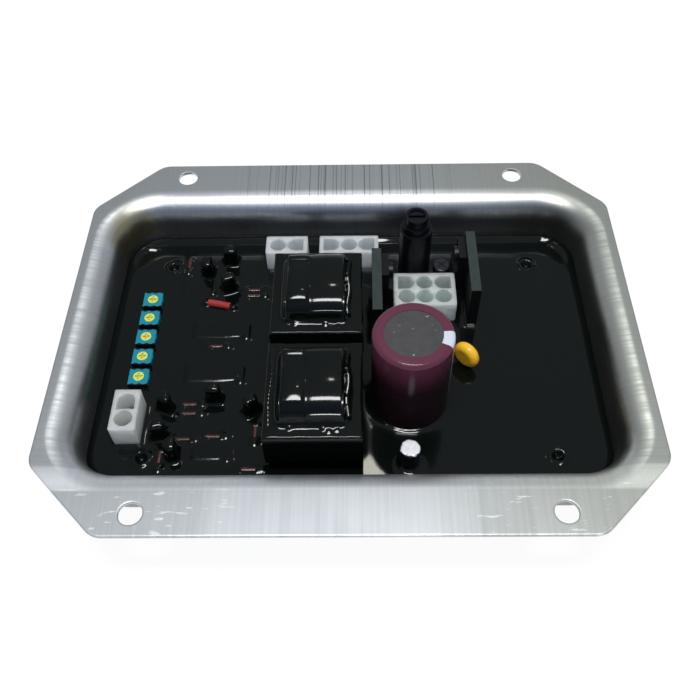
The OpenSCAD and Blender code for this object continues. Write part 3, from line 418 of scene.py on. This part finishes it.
def small_can_material():
    """The front can has a bare pale top with a ragged edge, whose near white is partly a painted highlight;
    the rear one is covered by resin.
    """
    mat = new_material("small_can")
    z = axis_of(mat, place(mat))[2]
    ragged = plus(mat, radius_from(mat, FRONT_CAN), times(mat, noise(mat, 700.0, detail=2.0), 0.0022))
    top = times(mat, calc(mat, "GREATER_THAN", z, 0.02345), step_between(mat, ragged, 0.0042, 0.0037))
    # partly painted highlight: the bare top is pale metal, made near white and partly diffuse to stand for
    # the lamp's highlight
    bsdf_input(mat, "Base Color", blend_colours(mat, top, (0.008, 0.009, 0.014), (0.93, 0.94, 0.96)))
    bsdf_input(mat, "Metallic", times(mat, top, 0.4))
    bsdf_input(mat, "Roughness", plus(mat, times(mat, top, 0.18), 0.16))
    return mat


def rotor_material(centre):
    """Yellow moulding, browner about the slot's middle."""
    mat = new_material("rotor_yellow", Roughness=0.4)
    middle = step_between(mat, radius_from(mat, centre), 0.0012, 0.0008)
    bsdf_input(mat, "Base Color", blend_colours(mat, middle, (0.66, 0.72, 0.13), (0.60, 0.55, 0.08)))
    return mat


def bare_metal(name, colour, roughness):
    return new_material(name, Base_Color=colour, Metallic=1.0, Roughness=roughness)


def plain_surface(name, colour, roughness, gloss=0.5):
    return new_material(name, Base_Color=colour, Roughness=roughness, Specular_IOR_Level=gloss)


MATERIALS = {
    "tray_metal": tray_material(),
    "resin": resin_material(),
    "board": plain_surface("board", (0.03, 0.09, 0.04), 0.5),
    "brass": bare_metal("brass", (0.60, 0.45, 0.20), 0.35),
    "screw_steel": bare_metal("screw_steel", (0.03, 0.031, 0.033), 0.45),
    "trimmer_blue": trimmer_material(),
    "tinned_wire": bare_metal("tinned_wire", (0.6, 0.6, 0.6), 0.3),
    "nylon": nylon_material(),
    "contact_metal": bare_metal("contact_metal", (0.62, 0.62, 0.58), 0.3),
    "core_sheet": plain_surface("core_sheet", (0.008, 0.009, 0.010), 0.25),
    "bobbin_plastic": plain_surface("bobbin_plastic", (0.006, 0.006, 0.007), 0.2),
    "winding": plain_surface("winding", (0.006, 0.007, 0.012), 0.15),
    "can_metal": bare_metal("can_metal", (0.65, 0.65, 0.65), 0.35),
    "sleeve": sleeve_material(),
    "top_disc": disc_material(),
    "holder_black": plain_surface("holder_black", (0.004, 0.005, 0.007), 0.3, 0.2),
    "fuse_glass": new_material("fuse_glass", Base_Color=(0.9, 0.93, 0.93), Roughness=0.05,
                               Transmission_Weight=1.0),
    "plate_dark": plate_material(),
    "device_black": plain_surface("device_black", (0.006, 0.006, 0.007), 0.35, 0.2),
    "varistor_amber": plain_surface("varistor_amber", (1.0, 0.54, 0.028), 0.2),
    "small_can": small_can_material(),
    "resistor_body": plain_surface("resistor_body", (0.065, 0.016, 0.013), 0.2),
    "axial_red": plain_surface("axial_red", (0.34, 0.030, 0.028), 0.2),
}
SLOTS = {s["node"]: s["material_slot"] for s in frame["record"]["subparts"]}
for name, obj in cad.items():
    slot = SLOTS[name]
    if slot == "rotor_yellow":
        material = rotor_material(TRIMMERS[int(name.split("_")[1]) - 1])
    else:
        material = MATERIALS[slot]
    obj.data.materials.clear()
    obj.data.materials.append(material)


# Moulded and cut edges of the shown nodes are softened a little

def soften(name, width, segments=2):
    mod = cad[name].modifiers.new("soft_edge", "BEVEL")
    mod.width = width * MM
    mod.segments = segments
    mod.limit_method = "ANGLE"
    mod.angle_limit = math.radians(35)
    mod.harden_normals = True


for name in cad:
    if name.endswith("_connector_housing"):
        soften(name, 0.25)
    elif name.endswith("_heat_sink") or name.endswith("_power_device"):
        soften(name, 0.2)
    elif name.startswith("fuse_holder"):
        soften(name, 0.3, 3)
    elif name.startswith("trimmer") and name.endswith("body"):
        soften(name, 0.2)


# Tray: one section carried round the basin, then the flange with its cut corners and holes

BASIN_R, LIP_R, FLOOR_R, SHEET, TRAY_H = 14.0, 9.0, 5.0, 1.5, 30.0
FLANGE_CUT, VERTEX_R, EDGE_R = 23.0, 7.0, 0.3
HOLES = [(sx * 61.5, sy * 69.5) for sx in (-1, 1) for sy in (-1, 1)]
HOLE_R = 3.5


def arc(cx, cy, r, start, end, steps):
    angles = [math.radians(start + (end - start) * i / steps) for i in range(steps + 1)]
    return [(cx + r * math.cos(a), cy + r * math.sin(a)) for a in angles]


def basin_path(along_x, along_y, corner):
    """Points and outward directions round the basin, anticlockwise from the right side's front end."""
    signs = ((1, 1), (-1, 1), (-1, -1), (1, -1))
    centres = [np.array([sx * (BASIN_X - BASIN_R), sy * (BASIN_Y - BASIN_R)]) for sx, sy in signs]
    path = []
    for k, end in enumerate(centres):
        start = centres[k - 1]
        count = along_x if k % 2 else along_y
        direction = (math.cos(k * math.pi / 2), math.sin(k * math.pi / 2))
        path += [(*(start + (end - start) * i / count), *direction) for i in range(count)]
        turns = [(k + i / corner) * math.pi / 2 for i in range(corner)]
        path += [(*end, math.cos(t), math.sin(t)) for t in turns]
    return path


def tray_section():
    """Upper and under sides of the sheet: distance from the corner centres and height."""
    floor_bend = (BASIN_R - FLOOR_R, SHEET + FLOOR_R)
    lip_bend = (BASIN_R + LIP_R, TRAY_H - LIP_R)
    upper = [(0, SHEET), (BASIN_R - FLOOR_R, SHEET)] + arc(*floor_bend, FLOOR_R, -90, 0, 10)
    upper += [(BASIN_R, z) for z in (10, 14, 16, 18)] + arc(*lip_bend, LIP_R, 180, 90, 28)
    under = arc(*lip_bend, LIP_R - SHEET, 90, 180, 20)
    under += arc(*floor_bend, FLOOR_R + SHEET, 0, -90, 10) + [(0, 0)]
    return upper, under


def flange_outline():
    """Rectangle with cut corners and a radius at each vertex."""
    setback = VERTEX_R * math.tan(math.radians(22.5))
    quarter = arc(FLANGE_X - VERTEX_R, FLANGE_Y - FLANGE_CUT - setback, VERTEX_R, 0, 45, 8)
    quarter += arc(FLANGE_X - FLANGE_CUT - setback, FLANGE_Y - VERTEX_R, VERTEX_R, 45, 90, 8)
    rear = quarter + [(-px, py) for px, py in reversed(quarter)]
    return rear + [(-px, -py) for px, py in rear]


def offset_ring(points, distance):
    """A closed outline moved outwards."""
    p = np.array(points)
    ahead = np.roll(p, -1, 0) - p
    behind = p - np.roll(p, 1, 0)
    n = ahead / np.linalg.norm(ahead, axis=1)[:, None] + behind / np.linalg.norm(behind, axis=1)[:, None]
    n = np.stack([n[:, 1], -n[:, 0]], 1)
    return p + distance * n / np.linalg.norm(n, axis=1)[:, None]


def fill_flat(obj, rings):
    """Fills the flat sheet that lies between rings of vertex numbers."""
    bm = bmesh.new()
    bm.from_mesh(obj.data)
    bm.verts.ensure_lookup_table()
    edges = []
    for ring in rings:
        for a, b in zip(ring, ring[1:] + ring[:1]):
            pair = (bm.verts[a], bm.verts[b])
            edges.append(bm.edges.get(pair) or bm.edges.new(pair))
    for made in bmesh.ops.triangle_fill(bm, use_beauty=True, edges=edges)["geom"]:
        if isinstance(made, bmesh.types.BMFace):
            made.smooth = True
    bm.to_mesh(obj.data)
    bm.free()


def build_tray():
    path = basin_path(60, 40, 24)
    verts, faces = [], []
    upper, under = [[add_ring(verts, [(cx + nx * u, cy + ny * u, z) for cx, cy, nx, ny in path])
                     for u, z in side] for side in tray_section()]
    for side in (upper, under):
        for a, b in zip(side, side[1:]):
            faces += ring_faces(a, b)
    faces += [upper[0], under[-1][::-1]]
    flat_top, flat_under = [upper[-1]], [under[0]]
    holes = [(arc(hx, hy, HOLE_R, 0, 360, 40)[:-1], -1) for hx, hy in HOLES]
    for points, sign in [(flange_outline(), 1)] + holes:
        levels = [(-2 * EDGE_R, TRAY_H), (-EDGE_R, TRAY_H), (-0.08, TRAY_H - 0.09), (0, TRAY_H - EDGE_R),
                  (0, TRAY_H - SHEET + EDGE_R), (-EDGE_R, TRAY_H - SHEET), (-2 * EDGE_R, TRAY_H - SHEET)]
        made = [add_ring(verts, [(px, py, z) for px, py in offset_ring(points, sign * out)])
                for out, z in levels]
        for a, b in zip(made, made[1:]):
            faces += ring_faces(a, b)
        flat_top.append(made[0])
        flat_under.append(made[-1])
    obj = mesh_object("tray_shell", verts, faces)
    fill_flat(obj, flat_top)
    fill_flat(obj, flat_under)
    sharp_edges(obj, 40)
    piece(obj, "tray_metal", ["tray"])


build_tray()


# Resin: a skin that climbs what stands in it and swells over what lies under it

RESIN_TOP = 15.0
HIDDEN_PARTS = [(cx, cy, (legs - 1) * LEG_PITCH / 2 + 2.0, 2.65) for cx, cy, legs in CIRCUITS]
HIDDEN_PARTS.append((-43.5, -42.7, 5.9, 1.2))


def box_distance(x, y, cx, cy, half_x, half_y, r=0.0, turn=0.0):
    """Distance to a rounded rectangle, negative inside."""
    c, s = math.cos(math.radians(turn)), math.sin(math.radians(turn))
    px = np.abs((x - cx) * c + (y - cy) * s) - (half_x - r)
    py = np.abs(-(x - cx) * s + (y - cy) * c) - (half_y - r)
    return np.hypot(np.maximum(px, 0), np.maximum(py, 0)) + np.minimum(np.maximum(px, py), 0) - r


def rise(t, low, high):
    """A smooth step from 0 to 1."""
    t = np.clip((t - low) / (high - low), 0, 1)
    return t * t * (3 - 2 * t)


def mirror_slope(y):
    """Slope of a forward resin face that shows the overhead lamp to the camera."""
    return 0.32 + 0.00225 * (y + 45)


def rim_form(wall, x, y):
    """Section of the resin along the tray's wall: a gap, or at the rear a bead that slopes to a trough."""
    gap = -0.9 * np.exp(-(wall / 0.9) ** 2)
    bead = np.interp(wall, [0, 0.8, 1.7, 2.2, 4.4, 6.0, 11], [-0.9, 0.1, 0.6, 0.62, -0.55, -0.5, 0])
    bead *= 0.8 + 0.2 * np.exp(-((x - 11) / 5) ** 2)
    return gap + (bead - gap) * rise(y, 36, 46)


def hump_form(x, y, cx, cy, half_x, half_y):
    """A swelling over a hidden part, steep in front and gentle behind."""
    height = 0.62 if half_x > 7 else 0.45
    sides = rise(half_x - np.abs(x - cx), -1.2, 0.7)
    ahead = half_y + y - cy - 0.6 * rise(x - cx, 0.1 * half_x, 1.1 * half_x)
    front = rise(ahead, -1.2, -1.2 + 1.5 * height / (1.03 * mirror_slope(cy - half_y)))
    return height * sides * front * rise(half_y - y + cy, -3.5, 0.7)


def climbs(x, y):
    """Heights to which the resin climbs the parts that stand in it."""
    wavy = 1.0 + 0.2 * np.sin((x + y) / 1.6)
    feet = [(box_distance(x, y, *box, 0.5), 0.6, wavy) for box in CONNECTORS + HEAT_SINKS]
    round_feet = ((CAPACITOR, CAPACITOR_R, 0.8, 1.0), (FUSE_HOLDER, FUSE_HOLDER_R, 0.7, 0.9),
                  (FRONT_CAN, CAN_R, 0.9, 0.8), (REAR_CAN, CAN_R, 0.9, 0.8))
    for (cx, cy), r, height, fade in round_feet:
        feet.append((np.hypot(x - cx, y - cy) - r, height, fade))
    for cx, cy in TRIMMERS:
        feet.append((box_distance(x, y, cx, cy, TRIMMER_HALF, TRIMMER_HALF), 0.2, 0.7))
    for cx, cy in TRANSFORMERS.values():
        feet.append((box_distance(x, y, cx, cy, 14.0, 11), 0.5, 0.9))
    for leg in (-1.7, 1.7):
        feet.append((np.hypot(x - VARISTOR[0] - leg, y - VARISTOR[1] + leg) - 0.4, 1.0, 0.8))
    return [height * np.exp(-np.maximum(away, 0) / fade) for away, height, fade in feet]


def swellings(x, y):
    """Heights of the resin over hidden parts, resistors, screws and the ends of the axial part."""
    lifts = []
    for cx, cy, half_x, half_y in HIDDEN_PARTS:
        lifts.append(hump_form(x, y, cx, cy, half_x, half_y))
        corner = np.hypot(x - cx - half_x + 0.8, y - cy + half_y)
        lifts.append(1.9 * mirror_slope(cy - half_y) * np.exp(-(corner / 1.4) ** 2))
    for cx, cy, turn in RESISTORS:
        c, s = math.cos(math.radians(turn)), math.sin(math.radians(turn))
        along = np.abs((x - cx) * c + (y - cy) * s)
        away = box_distance(x, y, cx, cy, 3.3, 1.2, 1.0, turn)
        lifts.append((0.08 + 0.36 * rise(along, 1.5, 2.4)) * rise(-away, -1.2, 0.5))
        for side, height in ((1, 1.9), (-1, 0.8)) if turn == 0 else ((1, 0.8), (-1, 1.9)):
            lump = np.hypot(x - cx - side * 4.1 * c, y - cy - side * 4.1 * s)
            lifts.append(height * mirror_slope(cy) * np.exp(-(lump / 1.4) ** 2))
    for cx, cy in SCREWS:
        ring = np.exp(-((np.hypot(x - cx, y - cy) - 2.5) / 0.8) ** 2)
        lifts.append(0.45 * ring * (1 + 0.4 * np.cos(3 * np.arctan2(y - cy, x - cx) + cx)))
    for cx, cy in AXIAL_ENDS:
        lump = box_distance(x, y, cx, cy, 1.0, 0.7, 0.6, AXIAL_TURN)
        lifts.append(1.15 * rise(-lump, -1.3, 0.3))
    return lifts


def resin_height(x, y):
    """Height of the resin, where the cube root of a sum of cubes lets the highest lift win."""
    h = np.full(x.shape, RESIN_TOP)
    outside_screws = box_distance(x, y, 0, BOARD_Y, 67, 42, 6)
    h -= 0.3 * rise(outside_screws, -0.6, 5.0) * rise(y, 20, 32)
    h += rim_form(np.maximum(-box_distance(x, y, 0, 0, BASIN_X, BASIN_Y, BASIN_R), 0), x, y)
    h -= 0.04 * np.exp(-((x - 6.5) ** 2 + (y + 47) ** 2) / 50)
    for cx, cy, half_x, half_y in HIDDEN_PARTS:
        pimple = np.hypot(x - cx - half_x + 2.2, y - cy + half_y - 1.8)
        h += 0.5 * mirror_slope(cy - half_y) * np.exp(-(pimple / 0.5) ** 2)
    for cx, cy in SCREWS:
        h -= 1.6 * rise(-np.hypot(x - cx, y - cy), -2.2, -0.4)
    h += np.cbrt(sum(lift ** 3 for lift in climbs(x, y) + swellings(x, y)))
    for cx, cy, slant in ((-74.8, 46.9, -0.19), (74.2, 50.1, 0.17)):
        facet = rise(-np.hypot((x - cx) / 2.0, (y - cy) / 1.1), -1.6, -0.8)
        h += facet * (14.6 + slant * (x - cx) + 0.52 * (y - cy) - h)
    h += 0.020 * np.sin(x / 6.1 + 0.7) * np.sin(y / 5.3 + 0.2) + 0.012 * np.sin(x / 2.7 + y / 3.3)
    return h


def rim_loop(faces):
    """Vertex numbers round the open edge of a sheet of faces."""
    directed = {pair for f in faces for pair in zip(f, f[1:] + f[:1])}
    follow = {a: b for a, b in directed if (b, a) not in directed}
    loop = [next(iter(follow))]
    while follow[loop[-1]] != loop[0]:
        loop.append(follow[loop[-1]])
    return loop


def build_resin():
    step, over, foot = 0.5, 0.4, 7.0
    xs = np.arange(-BASIN_X - 1, BASIN_X + 1.01, step)
    ys = np.arange(-BASIN_Y - 1, BASIN_Y + 1.01, step)
    gx, gy = np.meshgrid(xs, ys, indexing="ij")
    h = resin_height(gx, gy)
    centre_x, centre_y = gx[:-1, :-1] + step / 2, gy[:-1, :-1] + step / 2
    keep = box_distance(centre_x, centre_y, 0, 0, BASIN_X + over, BASIN_Y + over, BASIN_R + over) < 0
    number = np.arange(gx.size).reshape(gx.shape)
    faces = [grid_face(number, i, j) for i, j in np.argwhere(keep)]
    used = np.unique(np.array(faces))
    renumber = {int(v): k for k, v in enumerate(used)}
    verts = [(gx.flat[v], gy.flat[v], h.flat[v]) for v in used]
    faces = [tuple(renumber[int(v)] for v in f) for f in faces]
    loop = rim_loop(faces)
    lower = add_ring(verts, [(verts[v][0], verts[v][1], foot) for v in loop])
    faces += ring_faces(lower, loop)
    faces.append(lower[::-1])
    obj = mesh_object("resin_skin", verts, faces)
    sharp_edges(obj, 60)
    piece(obj, "resin", ["potting"])


build_resin()


# Resin coat over each transformer, measured from the core's centre

COAT_X, COAT_Y, COAT_SHIFT = 15.0, 17.7, 0.3
CORE_TOP, COIL_X, COIL_Y, WINDING_SPLIT = 34.25, 9.8, 13.3, -2.2


def blur(field, sigma, step):
    reach = int(3 * sigma / step) + 1
    kernel = np.exp(-0.5 * (np.arange(-reach, reach + 1) * step / sigma) ** 2)
    kernel /= kernel.sum()
    for axis in (0, 1):
        padded = np.pad(field, [(reach, reach) if a == axis else (0, 0) for a in (0, 1)], mode="edge")
        field = np.apply_along_axis(lambda row: np.convolve(row, kernel, mode="valid"), axis, padded)
    return field


def wide_top(y):
    """Height of the wide winding's section, squarer at the rear; nothing where it ends."""
    over = np.minimum(np.abs(y) / COIL_Y, 1)
    power = np.where(y < 0, 2.2, 3.4)
    return np.where(over < 1, CORE_TOP + (41.85 - CORE_TOP) * (1 - over ** power) ** (1 / power), 0)


def narrow_top(y, lean):
    """Height of the narrow winding's section: a flat slope in front and a bead at the rear."""
    section = [(-COIL_Y, CORE_TOP), (-13.0, 36.2), (-12.4, 37.7), (-11.5, 38.9), (-10.6, 39.6), (-9.6, 40.2),
               (-8.9, 40.75), (-8.5, 42.5), (3, 41.6), (6.8, 40.85), (7.5, 40.75), (8.9, 40.75 + 1.5 * lean),
               (9.5, 41.5), (11, 40.5), (12, 39.2), (12.8, 37.3), (COIL_Y, CORE_TOP)]
    slope = 41.95 - 0.6 * lean * np.log1p(np.exp((-9.0 + 1.25 / lean - y) / 0.6))
    return np.where(np.abs(y) < COIL_Y, np.minimum(slope, np.interp(y, *zip(*section))), 0)


def coil_form(x, y, lean):
    """Height of the two windings side by side; nothing beyond them."""
    crown = 0.012 + 0.02 * (rise(y, -9.0, -5.0) - rise(y, 5.0, 7.0))
    narrow = narrow_top(y, lean) - crown * (x + 4.9) ** 2
    wide = wide_top(y) - 0.009 * (x - 4.2) ** 2
    return np.where(np.abs(x) <= COIL_X, np.where(x < WINDING_SPLIT, narrow, wide), 0)


def add_bright_lines(h, x, y, cy, left_bead):
    """Ledges at the mirror slope along the coil's right side, before it, and left of it on one coat."""
    right = COIL_X + 0.9 + 0.3 * np.sin(y / 2.1 + cy)
    teeth = mirror_slope(cy) * ((y + 20 + 0.2 * np.sin(y / 3)) % 2.9)
    ledge = 36.6 + teeth - 0.7 * (x - right) ** 2
    h = np.where((np.abs(x - right) < 0.8) & (np.abs(y) < 11.5), np.maximum(h, ledge), h)
    before = y + 11.7
    tape = 38.4 - 0.009 * (x - 4.2) ** 2 + mirror_slope(cy - 11.7) * before - 0.08 * before ** 2
    h = np.where((np.abs(x - 3.7) < 5.5) & (np.abs(before) < 0.5), np.maximum(h, tape), h)
    left = -13.1 + 0.2 * np.sin(y / 3)
    bead = 34.4 + mirror_slope(cy) * ((y + 20) % 1.5) - 1.4 * (x - left) ** 2
    on_bead = left_bead & (np.abs(x - left) < 0.7) & (np.abs(y - 1) < 14.5)
    return np.where(on_bead, np.maximum(h, bead), h)


def coat_height(x, y, cy, lean, left_bead, step):
    """Height of the core with the coil on it, under one skin with a round edge and a few drops."""
    outside = np.maximum(np.abs(x) - COIL_X, np.abs(y) - COIL_Y)
    core = CORE_TOP + 0.55 * rise(-outside, -4.6, 0)
    coil = coil_form(x, y, lean)
    fillet = blur(np.maximum(core, coil), 0.9, step) + 0.10 * np.sin(x / 1.3 + cy) * np.sin(y / 1.7 + 1)
    h = blur(np.maximum(np.maximum(core, coil), np.where(coil < core, fillet, 0)), 0.35, step)
    h = add_bright_lines(h, x, y, cy, left_bead)
    edge = np.minimum(COAT_X - np.abs(x - COAT_SHIFT), COAT_Y - np.abs(y))
    h -= 0.7 * (1 - np.sqrt(1 - (1 - np.clip(edge / 0.8, 0, 1)) ** 2))
    for px, py in ((3.5, -14.6), (5.2, -15.4), (7.6, -15.0), (-6.5, -14.4)):
        h += 0.22 * np.exp(-((x - px) ** 2 + (y - py) ** 2) / 0.5)
    return h


def build_transformer_coat(name, cx, cy, lean, left_bead):
    step = 0.3
    nx, ny = int(2 * COAT_X / step) + 1, int(2 * COAT_Y / step) + 1
    xs, ys = np.linspace(-COAT_X, COAT_X, nx) + COAT_SHIFT, np.linspace(-COAT_Y, COAT_Y, ny)
    gx, gy = np.meshgrid(xs, ys, indexing="ij")
    h = coat_height(gx, gy, cy, lean, left_bead, step)
    verts = [(cx + a, cy + b, c) for a, b, c in zip(gx.flat, gy.flat, h.flat)]
    number = np.arange(gx.size).reshape(gx.shape)
    faces = [grid_face(number, i, j) for i in range(nx - 1) for j in range(ny - 1)]
    rim = [*number[:, 0], *number[-1, 1:], *number[-2::-1, -1], *number[0, -2:0:-1]]
    upper = rim
    for z in (30.0, 26.0, 22.0, 19.9):
        ring = add_ring(verts, [(verts[v][0], verts[v][1], z) for v in rim])
        faces += ring_faces(ring, upper)
        upper = ring
    faces.append(upper[::-1])
    obj = mesh_object(name, verts, faces)
    sharp_edges(obj, 50)
    piece(obj, "resin")


for key, lean, left_bead in (("rear", 0.46, False), ("front", 0.37, True)):
    build_transformer_coat(key + "_transformer_coat", *TRANSFORMERS[key], lean, left_bead)


# Resin coat over each transistor: a rounded lump with a flared foot

LUMP_R, LUMP_FLAT = 2.4, 1.45

# Scale of the outline, height and shift to the rear
LUMP_LEVELS = [(1.85, 14.95, 0), (1.67, 15.05, 0), (1.50, 15.2, 0), (1.34, 15.45, 0), (1.22, 15.85, 0),
               (1.15, 16.5, 0), (1.09, 18.0, 0), (1.07, 19.4, 0), (1.05, 20.5, 0), (1.03, 21.2, 0),
               (1.01, 21.55, 0.1), (0.94, 21.85, 0.25), (0.78, 22.12, 0.45), (0.54, 22.3, 0.65),
               (0.28, 22.4, 0.8)]
LUMP_TIP, LUMP_TIP_SHIFT = 22.43, 0.9


def lump_outline(cx, turn, around):
    """A slightly wavy circle that is flat on one side, turned about its centre."""
    c, s = math.cos(math.radians(turn)), math.sin(math.radians(turn))
    points = []
    for t in (2 * math.pi * k / around for k in range(around)):
        r = min(LUMP_R, LUMP_FLAT / max(-math.sin(t), 1e-6)) * (1 + 0.03 * math.sin(3 * t + cx))
        px, py = r * math.cos(t), r * math.sin(t)
        points.append((px * c - py * s, px * s + py * c))
    return points


def build_transistor_coats():
    verts, faces = [], []
    for cx, cy, turn in TRANSISTORS:
        outline = lump_outline(cx, turn, 40)
        rings = [add_ring(verts, [(cx + scale * px, cy + scale * py + back, z) for px, py in outline])
                 for scale, z, back in LUMP_LEVELS]
        for a, b in zip(rings, rings[1:]):
            faces += ring_faces(a, b)
        tip = add_ring(verts, [(cx, cy + LUMP_TIP_SHIFT, LUMP_TIP)])
        faces += [(a, b, *tip) for a, b in zip(rings[-1], rings[-1][1:] + rings[-1][:1])]
        faces.append(rings[0][::-1])
    obj = mesh_object("transistor_coats", verts, faces)
    sharp_edges(obj, 70)
    piece(obj, "resin")


build_transistor_coats()


# Floor and light

def shown_white(name, in_gloss, in_gloss_behind):
    """White to the camera with the object's shadow, and a plain pale surface to the light."""
    mat = bpy.data.materials.new(name)
    mat.use_nodes = True
    mat.node_tree.nodes.clear()
    glow = add_node(mat, "Emission")
    set_value(glow.inputs["Strength"], 0.94)
    shadow = add_node(mat, "BsdfDiffuse")
    set_value(shadow.inputs["Color"], (0.08, 0.08, 0.08))
    plain = add_node(mat, "BsdfDiffuse")
    set_value(plain.inputs["Color"], (0.8, 0.8, 0.8))
    rays = add_node(mat, "LightPath").outputs
    seen = calc(mat, "MAXIMUM", rays["Is Camera Ray"], rays["Is Transmission Ray"])
    mirrored = step_between(mat, axis_of(mat, place(mat))[1], 1.4, 2.1, in_gloss, in_gloss_behind)
    shown = calc(mat, "MAXIMUM", seen, times(mat, rays["Is Glossy Ray"], mirrored))
    both = add_node(mat, "AddShader")
    feed(mat, both.inputs[0], glow.outputs[0])
    feed(mat, both.inputs[1], shadow.outputs[0])
    mix = add_node(mat, "MixShader")
    for socket, source in zip(mix.inputs, (shown, plain.outputs[0], both.outputs[0])):
        feed(mat, socket, source)
    feed(mat, add_node(mat, "OutputMaterial").inputs["Surface"], mix.outputs[0])
    return mat


def build_floor():
    """A round floor that curves up into a backdrop, which the metal shows less than the floor."""
    floor_r, bend_r, wall_h, below, around = 2000, 300, 800, 0.05, 96
    levels = [(floor_r, 0)]
    for a in np.linspace(0.2, 1.57, 8):
        levels.append((floor_r + bend_r * math.sin(a), bend_r - bend_r * math.cos(a)))
    levels.append((floor_r + bend_r, wall_h))
    turns = [2 * math.pi * k / around for k in range(around)]
    verts = []
    rings = [add_ring(verts, [(r * math.cos(t), r * math.sin(t), z - below) for t in turns])
             for r, z in levels]
    floor = mesh_object("floor", verts, [rings[0]])
    floor.data.materials.append(shown_white("floor_white", 1.0, 1.0))
    wall_faces = [f for a, b in zip(rings, rings[1:]) for f in ring_faces(b, a)]
    backdrop = mesh_object("backdrop", verts, wall_faces)
    backdrop.data.materials.append(shown_white("backdrop_white", 0.15, 0.45))


def area_lamp(name, at, size_x, size_y, watts, colour=(1, 1, 1)):
    """A rectangular lamp that looks at the origin."""
    data = bpy.data.lights.new(name, "AREA")
    data.shape = "RECTANGLE"
    data.size, data.size_y = size_x, size_y
    data.energy = watts
    data.color = colour
    lamp = bpy.data.objects.new(name, data)
    lamp.location = at
    lamp.rotation_euler = (-Vector(at)).to_track_quat("-Z", "Y").to_euler()
    bpy.context.scene.collection.objects.link(lamp)


def build_light():
    """A room brighter above and behind the part, bluer in front and darker to the left, with two lamps."""
    world = bpy.data.worlds.new("room")
    bpy.context.scene.world = world
    world.use_nodes = True
    x, y, z = axis_of(world, add_node(world, "TexCoord").outputs["Generated"])
    level = plus(world, times(world, calc(world, "MAXIMUM", z, 0.0), 0.39), 0.17)
    behind = step_between(world, y, -0.9, 0.1, 0.85, 1.0)
    right = step_between(world, x, -0.8, 0.1, 0.75, 1.0)
    in_front = step_between(world, y, -0.1, -0.6)
    sky = world.node_tree.nodes["Background"]
    feed(world, sky.inputs["Color"], blend_colours(world, in_front, (0.93, 0.97, 1.0), (0.50, 0.66, 1.0)))
    feed(world, sky.inputs["Strength"], times(world, level, behind, right))
    area_lamp("overhead", (0.0, -0.16, 1.0), 0.42, 0.13, 7.3)
    area_lamp("rear_lamp", (0.012, 0.49, 1.0), 0.05, 0.05, 0.25, (1.0, 0.99, 0.88))


build_floor()
build_light()


# Camera, fitted to the photo

CAMERA_AT = (4.381, -171.803, 244.335)
PITCH, YAW, ROLL = 53.405, -1.4117, -1.536
FOCAL_PIXELS, PHOTO_PIXELS, SENSOR = 830.0, 700.0, 36.0


def turn_about_z(degrees):
    c, s = math.cos(math.radians(degrees)), math.sin(math.radians(degrees))
    return np.array([[c, -s, 0], [s, c, 0], [0, 0, 1]])


def build_camera():
    right = np.array([1.0, 0.0, 0.0])
    ahead = np.array([0.0, math.cos(math.radians(PITCH)), -math.sin(math.radians(PITCH))])
    level_view = np.array([right, np.cross(ahead, right), ahead])
    view = turn_about_z(ROLL) @ level_view @ turn_about_z(YAW)
    data = bpy.data.cameras.new("camera")
    data.sensor_width = SENSOR
    data.lens = SENSOR * FOCAL_PIXELS / PHOTO_PIXELS
    data.clip_start = 0.01
    camera = bpy.data.objects.new("camera", data)
    pose = Matrix(np.stack([view[0], -view[1], -view[2]], 1).tolist()).to_4x4()
    pose.translation = Vector(CAMERA_AT) * MM
    camera.matrix_world = pose
    bpy.context.scene.collection.objects.link(camera)
    bpy.context.scene.camera = camera


build_camera()
bpy.context.scene.view_settings.view_transform = "Standard"
